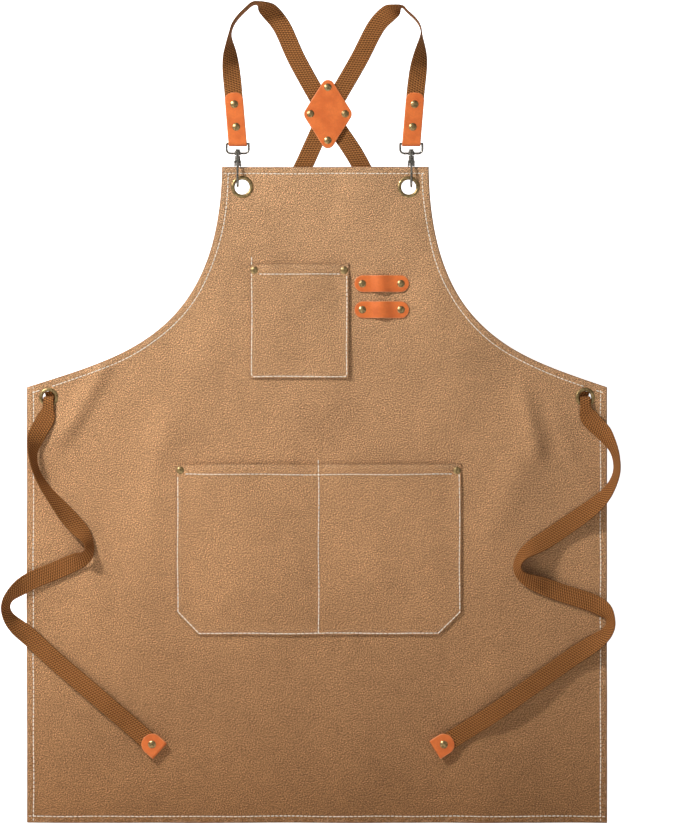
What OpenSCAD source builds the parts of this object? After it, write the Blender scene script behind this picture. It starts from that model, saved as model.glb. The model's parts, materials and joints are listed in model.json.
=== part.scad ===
// Cross-back bib apron of heavy canvas: a bib and skirt cut from one cloth, a chest pocket, a divided
// waist pocket, two leather tool loops, brass eyelets, and two webbing straps that clip to the bib,
// cross through a leather patch, run down behind the bib and come out of the waist eyelets as ties.
//
// The apron hangs upright. +Z is up, +Y is towards the wearer, and the front faces -Y.
// The origin is the middle of the bottom hem's back face.

/* [Cloth] */
// Width of the skirt
skirt_w = 690; // [560:5:760]
// Height of the skirt's straight sides, up to the waist corners
side_h = 518; // [460:1:560]
// Height of the whole panel, from hem to bib top
panel_h = 780; // [700:5:860]
// Width of the bib's top edge
bib_w = 246; // [220:1:280]
// How far the bib's middle lies to the right of the skirt's middle
bib_shift = 10; // [0:1:14]
// Thickness of one layer of canvas
cloth_t = 1.2; // [0.8:0.1:1.6]
// Width of the folded hem
hem_w = 10; // [9:0.5:12]
// Distance of the hem seam from the edge
seam_in = 7.5; // [6:0.5:8.5]
// Height of the fold line between skirt and bib above the waist corners
fold_up = 6; // [4:1:8]

/* [Pockets] */
// Width of the chest pocket
chest_pocket_w = 118; // [90:1:130]
// Height of the chest pocket
chest_pocket_h = 137; // [100:1:140]
// Width of the waist pocket
waist_pocket_w = 340; // [280:1:380]
// Height of the waist pocket
waist_pocket_h = 204; // [150:1:220]
// Cut-off at the waist pocket's bottom corners
pocket_chamfer = 27; // [15:1:35]
// Slack between a pocket's cloth and the panel behind it
pocket_gap = 5; // [4.5:0.5:7]

/* [Webbing] */
// Width of the strap webbing
web_w = 21.5; // [20:0.5:25]
// Thickness of the strap webbing
web_t = 1.6; // [1.2:0.1:1.8]
// Height of the shoulder loops' crest above the bib top
crest_h = 193; // [180:1:205]
// Length of a tie from its eyelet to its end, measured straight down
tie_drop = 418; // [380:1:430]

/* [Leather] */
// Thickness of the leather
leather_t = 1.8; // [1.4:0.1:2.2]
// Width of the cross patch
patch_w = 57; // [52:1:64]
// Height of the cross patch
patch_h = 81; // [76:1:90]
// Length of a tool loop
loop_len = 65; // [60:1:75]
// Width of a tool loop
loop_w = 20; // [16:1:22]
// How far a tool loop stands off the bib
loop_rise = 6; // [5:0.5:8]

/* [Metal] */
// Radius of the bib eyelets' hole
bib_eyelet_r = 8.8; // [8.7:0.1:9.6]
// Radius of the waist eyelets' hole
waist_eyelet_r = 7.1; // [7:0.1:7.8]
// Radius of a rivet head
rivet_r = 4.7; // [4:0.1:5]
// Radius of the clasps' wire
wire_r = 1.3; // [1.1:0.1:1.4]

/* [Hidden] */

$fn = 48;
canvas = [0.66, 0.50, 0.35];
cream = [0.93, 0.88, 0.76];
brass = [0.52, 0.45, 0.28];
steel = [0.66, 0.64, 0.60];
leather = [0.84, 0.42, 0.20];
webbing = [0.52, 0.32, 0.16];

// the frame's zero height is the middle of the hem, so everything drawn from the hem edge is lowered
base_z = -hem_w / 2;
back_y = 0;
cloth_back = -cloth_t;
front_y = -2 * cloth_t;
slip = 0.05;

half_w = skirt_w / 2;
bib_half = bib_w / 2;
fold_z = side_h + fold_up;
armhole_steps = 24;

thread_w = 1;
thread_t = 0.5;
fold_clear = 0.9;

bib_eyelet_in = 24;
waist_eyelet_in = 26;
waist_eyelet_down = 12;
eyelet_rim = 4.6;
barrel_t = 0.6;
washer_t = 0.7;
lip_t = 0.5;
rim_t = 1.5;

post_r = 1.4;
cap_h = 1.7;

chest_x = -21;
chest_z = fold_z + 4;
waist_x = 2;
waist_z = 223;
sewn_edge = 11;
slope_run = 12;
divider_half = 2.5;
edge_seam_in = 2;
top_seam_down = 12.5;
rivet_in = 5.5;
rivet_down = 8;
loop_x = 77;
upper_loop_z = 641;
lower_loop_z = 610;
loop_rivet_in = 9.5;

clasp_y = -1.5;
bow_r = 7.5;
bow_z = 8.3;
hook_top = 29;
bar_z = 51.5;
bar_half = 13.2;
tab_w = 22;
tab_h = 61;
crest_in_left = 25;
crest_in_right = 14;
crest_low_right = 4;
patch_z = 843;
patch_y = 0.5;
patch_gap = 0.2;
web_cut_z = panel_h + 2;

neck_w = 12.6;
neck_t = 2.4;
hinge_down = 10;
hinge_y = front_y - rim_t - 2.6;
lay_gap = 0.9;
lay_y = front_y - lay_gap - web_t / 2;
tip_slot = web_t + 0.2;
tip_half_t = tip_slot / 2 + leather_t;
tip_y = front_y - 0.2 - cap_h - tip_half_t;

bib_eyelet_z = panel_h - bib_eyelet_in;
waist_eyelet_z = side_h - waist_eyelet_down;
function eyelet_x(side) = bib_shift + side * (bib_half - bib_eyelet_in);
// The left strap leans further out than the right one.
function clasp_out(side) = side < 0 ? 5.3 : 3.2;
function clasp_x(side) = eyelet_x(side) + side * clasp_out(side);
function waist_x_of(side) = side * (half_w - waist_eyelet_in);
bar_world_z = bib_eyelet_z + bar_z;

// ---------- curves ----------

function unit(v) = v / norm(v);
function mix(a, b, t) = a * (1 - t) + b * t;
function smooth(t) = let (u = min(max(t, 0), 1)) u * u * (3 - 2 * u);
function bezier(a, b, c, d, t) =
    a * pow(1 - t, 3) + 3 * b * t * pow(1 - t, 2) + 3 * c * t * t * (1 - t) + d * pow(t, 3);
function bezier_slope(a, b, c, d, t) =
    3 * (b - a) * pow(1 - t, 2) + 6 * (c - b) * t * (1 - t) + 3 * (d - c) * t * t;

// Armhole edge from the bib's top corner to the waist corner, moved inwards by inset.
function armhole(side, inset) = let (
        a = [bib_shift + side * bib_half, panel_h],
        d = [side * half_w, side_h],
        run = d[0] - a[0],
        drop = side_h - panel_h,
        b = a + [run * 0.01, drop * 0.76],
        c = a + [run * 0.50, drop * 0.86])
    [for (i = [0 : armhole_steps]) let (
        t = i / armhole_steps,
        s = unit(bezier_slope(a, b, c, d, t)))
        bezier(a, b, c, d, t) + inset * side * [s[1], -s[0]]];

function reversed(list) = [for (i = [len(list) - 1 : -1 : 0]) list[i]];

// Points of a curve that lie between the panel's inset top edge and its inset side edge
function kept(points, side, inset) =
    [for (p = points) if (p[1] < panel_h - inset - 0.01 && side * p[0] < half_w - inset - 0.01) p];

// Panel outline with every edge moved inwards by inset
function outline(inset) = let (
        l = armhole(-1, inset),
        r = armhole(1, inset),
        side_x = half_w - inset)
    concat([[side_x, inset], [side_x, end_height(r, side_x)]],
           reversed(kept(r, 1, inset)),
           [[top_reach(r, inset), panel_h - inset], [top_reach(l, inset), panel_h - inset]],
           kept(l, -1, inset),
           [[-side_x, end_height(l, -side_x)], [-side_x, inset]]);

// Where an inset armhole curve meets the inset side edge and the inset top edge
function end_height(curve, x) = let (n = len(curve) - 1, a = curve[n - 1], b = curve[n])
    mix(a, b, (x - a[0]) / (b[0] - a[0]))[1];
function top_reach(curve, inset) = let (a = curve[0], b = curve[1])
    mix(a, b, (panel_h - inset - a[1]) / (b[1] - a[1]))[0];

// Smooth curve through every given point
function through(a, b, c, d, t) =
    0.5 * (2 * b + (c - a) * t + (2 * a - 5 * b + 4 * c - d) * t * t + (3 * b - a - 3 * c + d) * t * t * t);
function spline(points, steps) = let (last = len(points) - 1)
    concat([for (i = [0 : last - 1]) for (k = [0 : steps - 1])
                through(points[max(i - 1, 0)], points[i], points[i + 1], points[min(i + 2, last)], k / steps)],
           [points[last]]);

function tangent(path, i) = unit(path[min(i + 1, len(path) - 1)] - path[max(i - 1, 0)]);

// Direction across the webbing: the wanted direction with its part along the path taken out
function across(wanted, along) = unit(wanted - (wanted * along) * along);

// Flat-lying direction across a path that runs in the panel's plane
function flat_across(along) = [along[2], 0, -along[0]];

// ---------- shared shapes ----------

// Draws a flat shape given in X and Z as a plate from y0 back to y1.
module plate(y0, y1) {
    translate([0, y1, base_z]) rotate([90, 0, 0]) linear_extrude(y1 - y0) children();
}

// Turns a shape that stands along +Z so that it points along -Y, out of the front.
module facing_front(x, y, z) {
    translate([x, y, base_z + z]) rotate([90, 0, 0]) children();
}

module round_rect(w, h, r) {
    for (sx = [-1, 1], sz = [-1, 1])
        translate([sx * (w / 2 - r), sz * (h / 2 - r)]) circle(r);
    square([w - 2 * r, h], center = true);
    square([w, h - 2 * r], center = true);
}

// Webbing swept along a path: ways holds the direction across it at each point, widths its width.
// Its front and back are split along the same diagonals, so they stay apart where it twists.
module ribbon(path, ways, widths, thick) {
    n = len(path) - 1;
    points = [for (i = [0 : n]) let (
        t = tangent(path, i),
        w = ways[i] * widths[i] / 2,
        u = cross(t, ways[i]) * thick / 2)
        each [path[i] + w + u, path[i] - w + u, path[i] - w - u, path[i] + w - u]];
    sides = [for (i = [0 : n - 1]) for (k = [0 : 3]) let (
        a = 4 * i + k,
        b = 4 * i + (k + 1) % 4)
        each k < 2 ? [[a, b, b + 4], [a, b + 4, a + 4]] : [[a, b, a + 4], [b, b + 4, a + 4]]];
    polyhedron(points, concat([[3, 2, 1, 0]], sides, [[4 * n, 4 * n + 1, 4 * n + 2, 4 * n + 3]]));
}

// Path lifted towards the front so that tilted webbing rests on its back edge
function rested(path, ways, width) =
    [for (i = [0 : len(path) - 1]) path[i] - [0, abs(ways[i][1]) * width / 2, 0]];

// Right half of a low dome, as the profile of a rivet head
module dome_half(r, h) {
    sphere_r = (r * r + h * h) / (2 * h);
    intersection() {
        translate([0, h - sphere_r]) circle(sphere_r);
        square([r, h]);
    }
}

// Rivet from the front: domed head on the face at head_y, and a post through the layers it grips
module rivet(x, z, head_y, grip) {
    facing_front(x, head_y, z) {
        rotate_extrude() dome_half(rivet_r, cap_h);
        translate([0, 0, -grip - cap_h * 0.5]) cylinder(h = grip + cap_h * 0.6, r = post_r);
    }
}

// Rivet cap behind: a flat cap pressed over the end of the post
module rivet_cap(x, z, seat_y) {
    facing_front(x, seat_y, z) difference() {
        rotate([180, 0, 0]) cylinder(h = cap_h, r1 = rivet_r, r2 = rivet_r * 0.7);
        translate([0, 0, -cap_h * 0.55]) cylinder(h = cap_h, r = post_r + slip);
    }
}

module post_hole(x, z) {
    translate([x, 10, base_z + z]) rotate([90, 0, 0]) cylinder(h = 40, r = post_r + slip);
}

// ---------- cloth ----------

module panel_outline(inset) {
    polygon(outline(inset));
}

module all_post_holes() {
    for (x = chest_rivets_x()) post_hole(x, chest_rivet_z);
    for (x = waist_rivets_x()) post_hole(x, waist_rivet_z);
    for (x = loop_rivets_x(), z = [upper_loop_z, lower_loop_z]) post_hole(x, z);
}

module eyelet_holes(extra) {
    for (side = [-1, 1]) {
        translate([eyelet_x(side), 10, base_z + bib_eyelet_z])
            rotate([90, 0, 0]) cylinder(h = 30, r = bib_eyelet_r + barrel_t + extra);
        translate([waist_x_of(side), 10, base_z + waist_eyelet_z])
            rotate([90, 0, 0]) cylinder(h = 30, r = waist_eyelet_r + barrel_t + extra);
    }
}

module whole_panel() {
    difference() {
        union() {
            plate(front_y, cloth_back) panel_outline(0);
            difference() {
                plate(cloth_back - 0.3, back_y) panel_outline(0);
                plate(cloth_back, back_y + 1) panel_outline(hem_w);
                intersection() {
                    eyelet_holes(eyelet_rim);
                    translate([-half_w, cloth_back, base_z]) cube([skirt_w, 5, panel_h]);
                }
            }
        }
        eyelet_holes(slip);
        all_post_holes();
    }
}

module skirt_panel() {
    color(canvas) intersection() {
        whole_panel();
        translate([-half_w - 5, -10, base_z - 5]) cube([skirt_w + 10, 20, fold_z + 5]);
    }
}

module bib_panel() {
    color(canvas) intersection() {
        whole_panel();
        translate([-half_w - 5, -10, base_z + fold_z]) cube([skirt_w + 10, 20, panel_h]);
    }
}

// Seam thread all round the panel, clear of the eyelets' rims, before it is cut at the fold
module hem_seam() {
    difference() {
        plate(front_y - thread_t, front_y) panel_outline(seam_in);
        plate(front_y - thread_t - 1, front_y + 1) panel_outline(seam_in + thread_w);
        eyelet_holes(eyelet_rim);
    }
}

module skirt_hem_thread() {
    color(cream) intersection() {
        hem_seam();
        translate([-half_w - 5, -10, base_z - 5]) cube([skirt_w + 10, 20, fold_z + 5 - fold_clear]);
    }
}

module bib_hem_thread() {
    color(cream) intersection() {
        hem_seam();
        translate([-half_w - 5, -10, base_z + fold_z + fold_clear]) cube([skirt_w + 10, 20, panel_h]);
    }
}

// ---------- pockets ----------

pocket_front = front_y - cloth_t;
chest_rivet_z = chest_z + chest_pocket_h - rivet_down;
waist_rivet_z = waist_z + waist_pocket_h - rivet_down;
function chest_rivets_x() = [for (s = [-1, 1]) chest_x + s * (chest_pocket_w / 2 - rivet_in)];
function waist_rivets_x() = [for (s = [-1, 1]) waist_x + s * (waist_pocket_w / 2 - rivet_in)];
function loop_rivets_x() = [for (s = [-1, 1]) loop_x + s * (loop_len / 2 - loop_rivet_in)];

// Area from x0 to x1 above z0, with its bottom corners cut off by cut_left and cut_right
module cut_area(x0, x1, z0, z1, cut_left, cut_right) {
    polygon([[x1, z1], [x0, z1], [x0, z0 + cut_left], [x0 + cut_left, z0],
             [x1 - cut_right, z0], [x1, z0 + cut_right]]);
}

// Pocket outline about its bottom middle, moved inwards by inset at the sewn edges
module pocket_outline(w, h, chamfer, inset) {
    cut = max(chamfer - inset * 0.6, 0.1);
    cut_area(inset - w / 2, w / 2 - inset, inset, h, cut, cut);
}

// Slack cloth of one compartment, rising from flat edges to a raised middle; over is its own thickness
module slack(y, top, x0, x1, h, cut_left, cut_right) {
    hull() {
        plate(y - 0.1, y + 0.5) cut_area(x0, x1, sewn_edge, h + top, cut_left, cut_right);
        plate(y - pocket_gap, y) cut_area(x0 + slope_run, x1 - slope_run, sewn_edge + slope_run, h + top,
                                          cut_left, cut_right);
    }
}

// Everything from the panel out to a pocket's front face, or to a face grown outwards by over.
// compartments lists each one's left and right side and the cut at its bottom corners.
module pocket_body(x, z, w, h, chamfer, compartments, over) {
    plate(pocket_front - over, front_y) translate([x, z]) pocket_outline(w, h, chamfer, 0);
    translate([x, 0, z]) for (c = compartments) slack(pocket_front - over, 0, c[0], c[1], h, c[2], c[3]);
}

// A patch pocket: its cloth lies flat where it is sewn and riveted, and stands off between.
module pocket(x, z, w, h, chamfer, compartments) {
    difference() {
        pocket_body(x, z, w, h, chamfer, compartments, 0);
        translate([x, 0, z]) for (c = compartments) slack(front_y, 5, c[0], c[1], h, c[2], c[3]);
        for (s = [-1, 1]) post_hole(x + s * (w / 2 - rivet_in), z + h - rivet_down);
    }
}

chest_side = chest_pocket_w / 2 - sewn_edge;
waist_side = waist_pocket_w / 2 - sewn_edge;
waist_cut = pocket_chamfer * 0.8;
square_cut = 0.2;
chest_compartments = [[-chest_side, chest_side, square_cut, square_cut]];
waist_compartments = [[-waist_side, -divider_half, waist_cut, square_cut],
                      [divider_half, waist_side, square_cut, waist_cut]];

module chest_pocket() {
    color(canvas) pocket(chest_x, chest_z, chest_pocket_w, chest_pocket_h, square_cut, chest_compartments);
}

module waist_pocket() {
    color(canvas) pocket(waist_x, waist_z, waist_pocket_w, waist_pocket_h, pocket_chamfer, waist_compartments);
}

// Seams of a pocket: along the sewn edges, and across the top hem over the raised middle
module pocket_seams(x, z, w, h, chamfer, compartments) {
    difference() {
        union() {
            difference() {
                plate(pocket_front - thread_t, pocket_front) translate([x, z])
                    pocket_outline(w, h, chamfer, edge_seam_in);
                plate(pocket_front - thread_t - 1, pocket_front + 1) translate([x, z])
                    pocket_outline(w, h + 10, chamfer, edge_seam_in + thread_w);
            }
            intersection() {
                difference() {
                    pocket_body(x, z, w, h, chamfer, compartments, thread_t);
                    pocket_body(x, z, w, h + 1, chamfer, compartments, 0);
                }
                translate([x - w / 2 + edge_seam_in, -20, base_z + z + h - top_seam_down])
                    cube([w - 2 * edge_seam_in, 30, thread_w]);
            }
        }
        for (s = [-1, 1])
            facing_front(x + s * (w / 2 - rivet_in), pocket_front + 5, z + h - rivet_down)
                cylinder(h = 10, r = rivet_r + 0.2);
    }
}

module chest_pocket_thread() {
    color(cream) pocket_seams(chest_x, chest_z, chest_pocket_w, chest_pocket_h, square_cut,
                              chest_compartments);
}

module waist_pocket_thread() {
    color(cream) {
        pocket_seams(waist_x, waist_z, waist_pocket_w, waist_pocket_h, pocket_chamfer, waist_compartments);
        plate(pocket_front - thread_t, pocket_front) translate([waist_x - thread_w / 2, waist_z + edge_seam_in])
            square([thread_w, waist_pocket_h - edge_seam_in]);
    }
}

// ---------- eyelets and rivets ----------

// One eyelet: domed front rim, barrel through the cloth and the lip rolled over the washer
module eyelet(x, z, r) {
    back = cloth_t + washer_t;
    facing_front(x, front_y, z) rotate_extrude() {
        translate([r + eyelet_rim / 2, 0]) {
            dome_half(eyelet_rim / 2, rim_t);
            mirror([1, 0]) dome_half(eyelet_rim / 2, rim_t);
        }
        translate([r, -back - lip_t]) square([barrel_t, back + lip_t + 0.1]);
        translate([r, -back - lip_t]) square([barrel_t + 1.4, lip_t]);
    }
}

module eyelet_washer(x, z, r) {
    facing_front(x, cloth_back + washer_t, z) difference() {
        cylinder(h = washer_t, r = r + eyelet_rim - 0.1);
        translate([0, 0, -1]) cylinder(h = 5, r = r + barrel_t + slip);
    }
}

module bib_eyelets() {
    color(brass) for (side = [-1, 1]) eyelet(eyelet_x(side), bib_eyelet_z, bib_eyelet_r);
}

module bib_eyelet_washers() {
    color(brass) for (side = [-1, 1]) eyelet_washer(eyelet_x(side), bib_eyelet_z, bib_eyelet_r);
}

module waist_eyelets() {
    color(brass) for (side = [-1, 1]) eyelet(waist_x_of(side), waist_eyelet_z, waist_eyelet_r);
}

module waist_eyelet_washers() {
    color(brass) for (side = [-1, 1]) eyelet_washer(waist_x_of(side), waist_eyelet_z, waist_eyelet_r);
}

module chest_pocket_rivets() {
    color(brass) for (x = chest_rivets_x()) rivet(x, chest_rivet_z, pocket_front, cloth_back - pocket_front);
}

module chest_pocket_rivet_caps() {
    color(brass) for (x = chest_rivets_x()) rivet_cap(x, chest_rivet_z, cloth_back);
}

module waist_pocket_rivets() {
    color(brass) for (x = waist_rivets_x()) rivet(x, waist_rivet_z, pocket_front, cloth_back - pocket_front);
}

module waist_pocket_rivet_caps() {
    color(brass) for (x = waist_rivets_x()) rivet_cap(x, waist_rivet_z, cloth_back);
}

// ---------- tool loops ----------

// Bowed strip seen from above, from one flat end over the crest to the other
function bow(x) = let (flat_end = 17, half = loop_len / 2 - flat_end)
    abs(x) >= half ? 0 : loop_rise * pow(cos(90 * x / half), 2);
loop_steps = 32;

module tool_loop(z) {
    half = loop_len / 2;
    xs = [for (i = [0 : loop_steps]) -half + i * loop_len / loop_steps];
    front = [for (x = xs) [x, front_y - leather_t - bow(x)]];
    back = [for (x = xs) [x, front_y - bow(x)]];
    color(leather) difference() {
        intersection() {
            translate([loop_x, 0, base_z + z - loop_w / 2])
                linear_extrude(loop_w) polygon(concat(front, reversed(back)));
            plate(front_y - 20, front_y + 1) translate([loop_x, z]) round_rect(loop_len, loop_w, loop_w / 2 - 0.1);
        }
        for (x = loop_rivets_x()) post_hole(x, z);
    }
}

module upper_tool_loop() {
    tool_loop(upper_loop_z);
}

module lower_tool_loop() {
    tool_loop(lower_loop_z);
}

module tool_loop_rivets() {
    color(brass) for (x = loop_rivets_x(), z = [upper_loop_z, lower_loop_z])
        rivet(x, z, front_y - leather_t, leather_t + cloth_t);
}

module tool_loop_rivet_caps() {
    color(brass) for (x = loop_rivets_x(), z = [upper_loop_z, lower_loop_z]) rivet_cap(x, z, cloth_back);
}

// ---------- cross patch ----------

patch_front_y = patch_y - web_t - patch_gap * 1.5 - leather_t;
patch_back_y = patch_y + web_t + patch_gap * 1.5 + leather_t;
patch_corner = 8;
patch_rivets = [[0, patch_h / 2 - 9], [0, 9 - patch_h / 2], [patch_w / 2 - 8, 0], [8 - patch_w / 2, 0]];

// Diamond with rounded corners
module patch_outline() {
    translate([bib_shift + 3, patch_z]) hull() {
        for (s = [-1, 1]) {
            translate([s * (patch_w / 2 - patch_corner), 0]) circle(patch_corner);
            translate([0, s * (patch_h / 2 - patch_corner)]) circle(patch_corner);
        }
    }
}

module patch_holes() {
    for (p = patch_rivets) post_hole(bib_shift + 3 + p[0], patch_z + p[1]);
}

module cross_patch_front() {
    color(leather) difference() {
        plate(patch_front_y, patch_front_y + leather_t) patch_outline();
        patch_holes();
    }
}

module cross_patch_back() {
    color(leather) difference() {
        plate(patch_back_y - leather_t, patch_back_y) patch_outline();
        patch_holes();
    }
}

module cross_patch_rivets() {
    color(brass) for (p = patch_rivets)
        rivet(bib_shift + 3 + p[0], patch_z + p[1], patch_front_y, patch_back_y - patch_front_y);
}

module cross_patch_rivet_caps() {
    color(brass) for (p = patch_rivets) rivet_cap(bib_shift + 3 + p[0], patch_z + p[1], patch_back_y);
}

// ---------- strap tabs ----------

tab_rivet_up = [20, 47];
tab_slot = web_t + 0.1;
tab_top_r = 9;
tab_lean = 4.8;
// Place of a point in the leaning tab, up above the bar
function tab_point(side, up) = [clasp_x(side) + side * up * sin(tab_lean), bar_world_z + up * cos(tab_lean)];

// Leather folded round the clasp's bar, leaning outwards, with the webbing's end between its layers
module strap_tab(side) {
    x = clasp_x(side);
    z = bar_world_z;
    outer = wire_r + 0.06 + leather_t;
    layers = tab_slot / 2 + leather_t;
    color(leather) difference() {
        union() {
            plate(clasp_y - layers, clasp_y + layers) translate([x, z]) rotate(-side * tab_lean) {
                translate([-tab_w / 2, 1]) square([tab_w, tab_h - tab_top_r - 1]);
                translate([0, tab_h - tab_top_r]) round_rect(tab_w, 2 * tab_top_r, tab_top_r - 0.1);
            }
            translate([x - tab_w / 2, clasp_y, base_z + z]) rotate([0, 90, 0]) cylinder(h = tab_w, r = outer);
        }
        translate([x - tab_w, clasp_y, base_z + z]) rotate([0, 90, 0]) cylinder(h = 2 * tab_w, r = wire_r + 0.06);
        translate([x - tab_w, clasp_y - tab_slot / 2, base_z + z + 4]) cube([2 * tab_w, tab_slot, tab_h]);
        for (up = tab_rivet_up) post_hole(tab_point(side, up)[0], tab_point(side, up)[1]);
    }
}

module left_strap_tab() {
    strap_tab(-1);
}

module right_strap_tab() {
    strap_tab(1);
}

tab_half_t = tab_slot / 2 + leather_t;

module strap_tab_rivets() {
    color(brass) for (side = [-1, 1], up = tab_rivet_up)
        rivet(tab_point(side, up)[0], tab_point(side, up)[1], clasp_y - tab_half_t, 2 * tab_half_t);
}

module strap_tab_rivet_caps() {
    color(brass) for (side = [-1, 1], up = tab_rivet_up)
        rivet_cap(tab_point(side, up)[0], tab_point(side, up)[1], clasp_y + tab_half_t);
}

// ---------- clasps ----------

boss_z = 38;
boss_h = 4.6;
swivel_r = 1.5;
pivot_z = 27;
pivot_r = 0.8;
gate_w = 2.4;
ear_in = 2.9;
ear_t = 1.1;
tip_z = 13.5;

// Puts a clasp part at its place: local z is height above the eyelet's centre
module at_clasp(side) {
    translate([clasp_x(side), clasp_y, base_z + bib_eyelet_z]) children();
}

// Flat bail with the strap's bar at the top and the swivel boss at the bottom
module clasp_eye(side) {
    corner = 5;
    color(steel) at_clasp(side) difference() {
        union() {
            translate([-bar_half, 0, bar_z]) rotate([0, 90, 0]) cylinder(h = 2 * bar_half, r = wire_r);
            for (s = [-1, 1]) {
                translate([s * bar_half, 0, bar_z]) sphere(wire_r);
                translate([s * bar_half, 0, boss_z + 2 + corner])
                    cylinder(h = bar_z - boss_z - 2 - corner, r = wire_r);
                translate([s * (bar_half - corner), 0, boss_z + 2 + corner]) rotate([90, 0, 0])
                    rotate_extrude(angle = 90, start = s > 0 ? -90 : 180) translate([corner, 0]) circle(wire_r);
                translate([min(0, s * (bar_half - corner)), 0, boss_z + 2]) rotate([0, 90, 0])
                    cylinder(h = bar_half - corner, r = wire_r);
            }
            translate([0, 0, boss_z]) cylinder(h = boss_h, r = 3.6);
        }
        translate([0, 0, boss_z - 5]) cylinder(h = 15, r = swivel_r + slip);
    }
}

// Snap hook: swivel post, body, wire bow that passes through the eyelet, and two ears for the gate
module clasp_hook(side) {
    color(steel) at_clasp(side) {
        translate([0, 0, hook_top]) cylinder(h = boss_z + boss_h + 1 - hook_top, r = swivel_r);
        translate([0, 0, boss_z + boss_h + 0.3]) cylinder(h = 2, r = 2.7);
        translate([0, 0, hook_top]) cylinder(h = 8, r = 3.3);
        difference() {
            union() {
                translate([-ear_in - ear_t, -bow_r, hook_top - 1]) cube([2 * (ear_in + ear_t), 2 * bow_r, 3]);
                for (s = [-1, 1])
                    translate([s > 0 ? ear_in : -ear_in - ear_t, bow_r - 2.4, pivot_z - 2.4])
                        cube([ear_t, 4.8, 5]);
            }
            translate([-8, bow_r, pivot_z]) rotate([0, 90, 0]) cylinder(h = 16, r = pivot_r + slip);
            translate([-ear_in, bow_r, pivot_z]) rotate([0, 90, 0]) cylinder(h = 2 * ear_in, r = 2.3);
        }
        translate([0, -bow_r, bow_z]) cylinder(h = hook_top - bow_z + 1, r = wire_r);
        translate([0, 0, bow_z]) rotate([90, 0, 90])
            rotate_extrude(angle = 180, start = 180) translate([bow_r, 0]) circle(wire_r);
        translate([0, bow_r, bow_z]) cylinder(h = tip_z - bow_z - 0.6, r = wire_r);
    }
}

// Spring gate: barrel on the pin, arm down to the hook's tip, and a thumb lever outside
module clasp_gate(side) {
    color(steel) at_clasp(side) difference() {
        union() {
            translate([-gate_w / 2, bow_r, pivot_z]) rotate([0, 90, 0]) cylinder(h = gate_w, r = 1.9);
            translate([-gate_w / 2, bow_r - 1, tip_z]) cube([gate_w, 2, pivot_z - tip_z]);
            translate([-gate_w / 2, bow_r, 18.5]) cube([gate_w, 3.6, 2]);
        }
        translate([-5, bow_r, pivot_z]) rotate([0, 90, 0]) cylinder(h = 10, r = pivot_r + slip);
    }
}

module clasp_pin(side) {
    length = 2 * (ear_in + ear_t) + 0.8;
    color(steel) at_clasp(side)
        translate([-length / 2, bow_r, pivot_z]) rotate([0, 90, 0]) cylinder(h = length, r = pivot_r);
}

// Closing spring: a small coil on the pin, between the gate and one ear
module clasp_spring(side) {
    turns = 3;
    steps = 14;
    coil_r = 1.3;
    spring_wire = 0.3;
    pitch = 0.42;
    start_x = gate_w / 2 + 0.2;
    path = [for (i = [0 : turns * steps]) let (a = 360 * i / steps)
        [start_x + pitch * i / steps, coil_r * cos(a), coil_r * sin(a)]];
    ways = [for (i = [0 : turns * steps]) across([1, 0, 0], tangent(path, i))];
    color(steel) at_clasp(side) translate([0, bow_r, pivot_z])
        ribbon(path, ways, [for (p = path) spring_wire], spring_wire);
}

module left_clasp_eye() {
    clasp_eye(-1);
}

module right_clasp_eye() {
    clasp_eye(1);
}

module left_clasp_hook() {
    clasp_hook(-1);
}

module right_clasp_hook() {
    clasp_hook(1);
}

module left_clasp_gate() {
    clasp_gate(-1);
}

module right_clasp_gate() {
    clasp_gate(1);
}

module left_clasp_pin() {
    clasp_pin(-1);
}

module right_clasp_pin() {
    clasp_pin(1);
}

module left_clasp_spring() {
    clasp_spring(-1);
}

module right_clasp_spring() {
    clasp_spring(1);
}

// ---------- shoulder webbing ----------

back_web_y = back_y + 2.2;
cross_slope = 0.57;
// How far right both straps drift between the patch and the bib's top edge
cross_drift = 5;
edge_on = 88;

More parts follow.
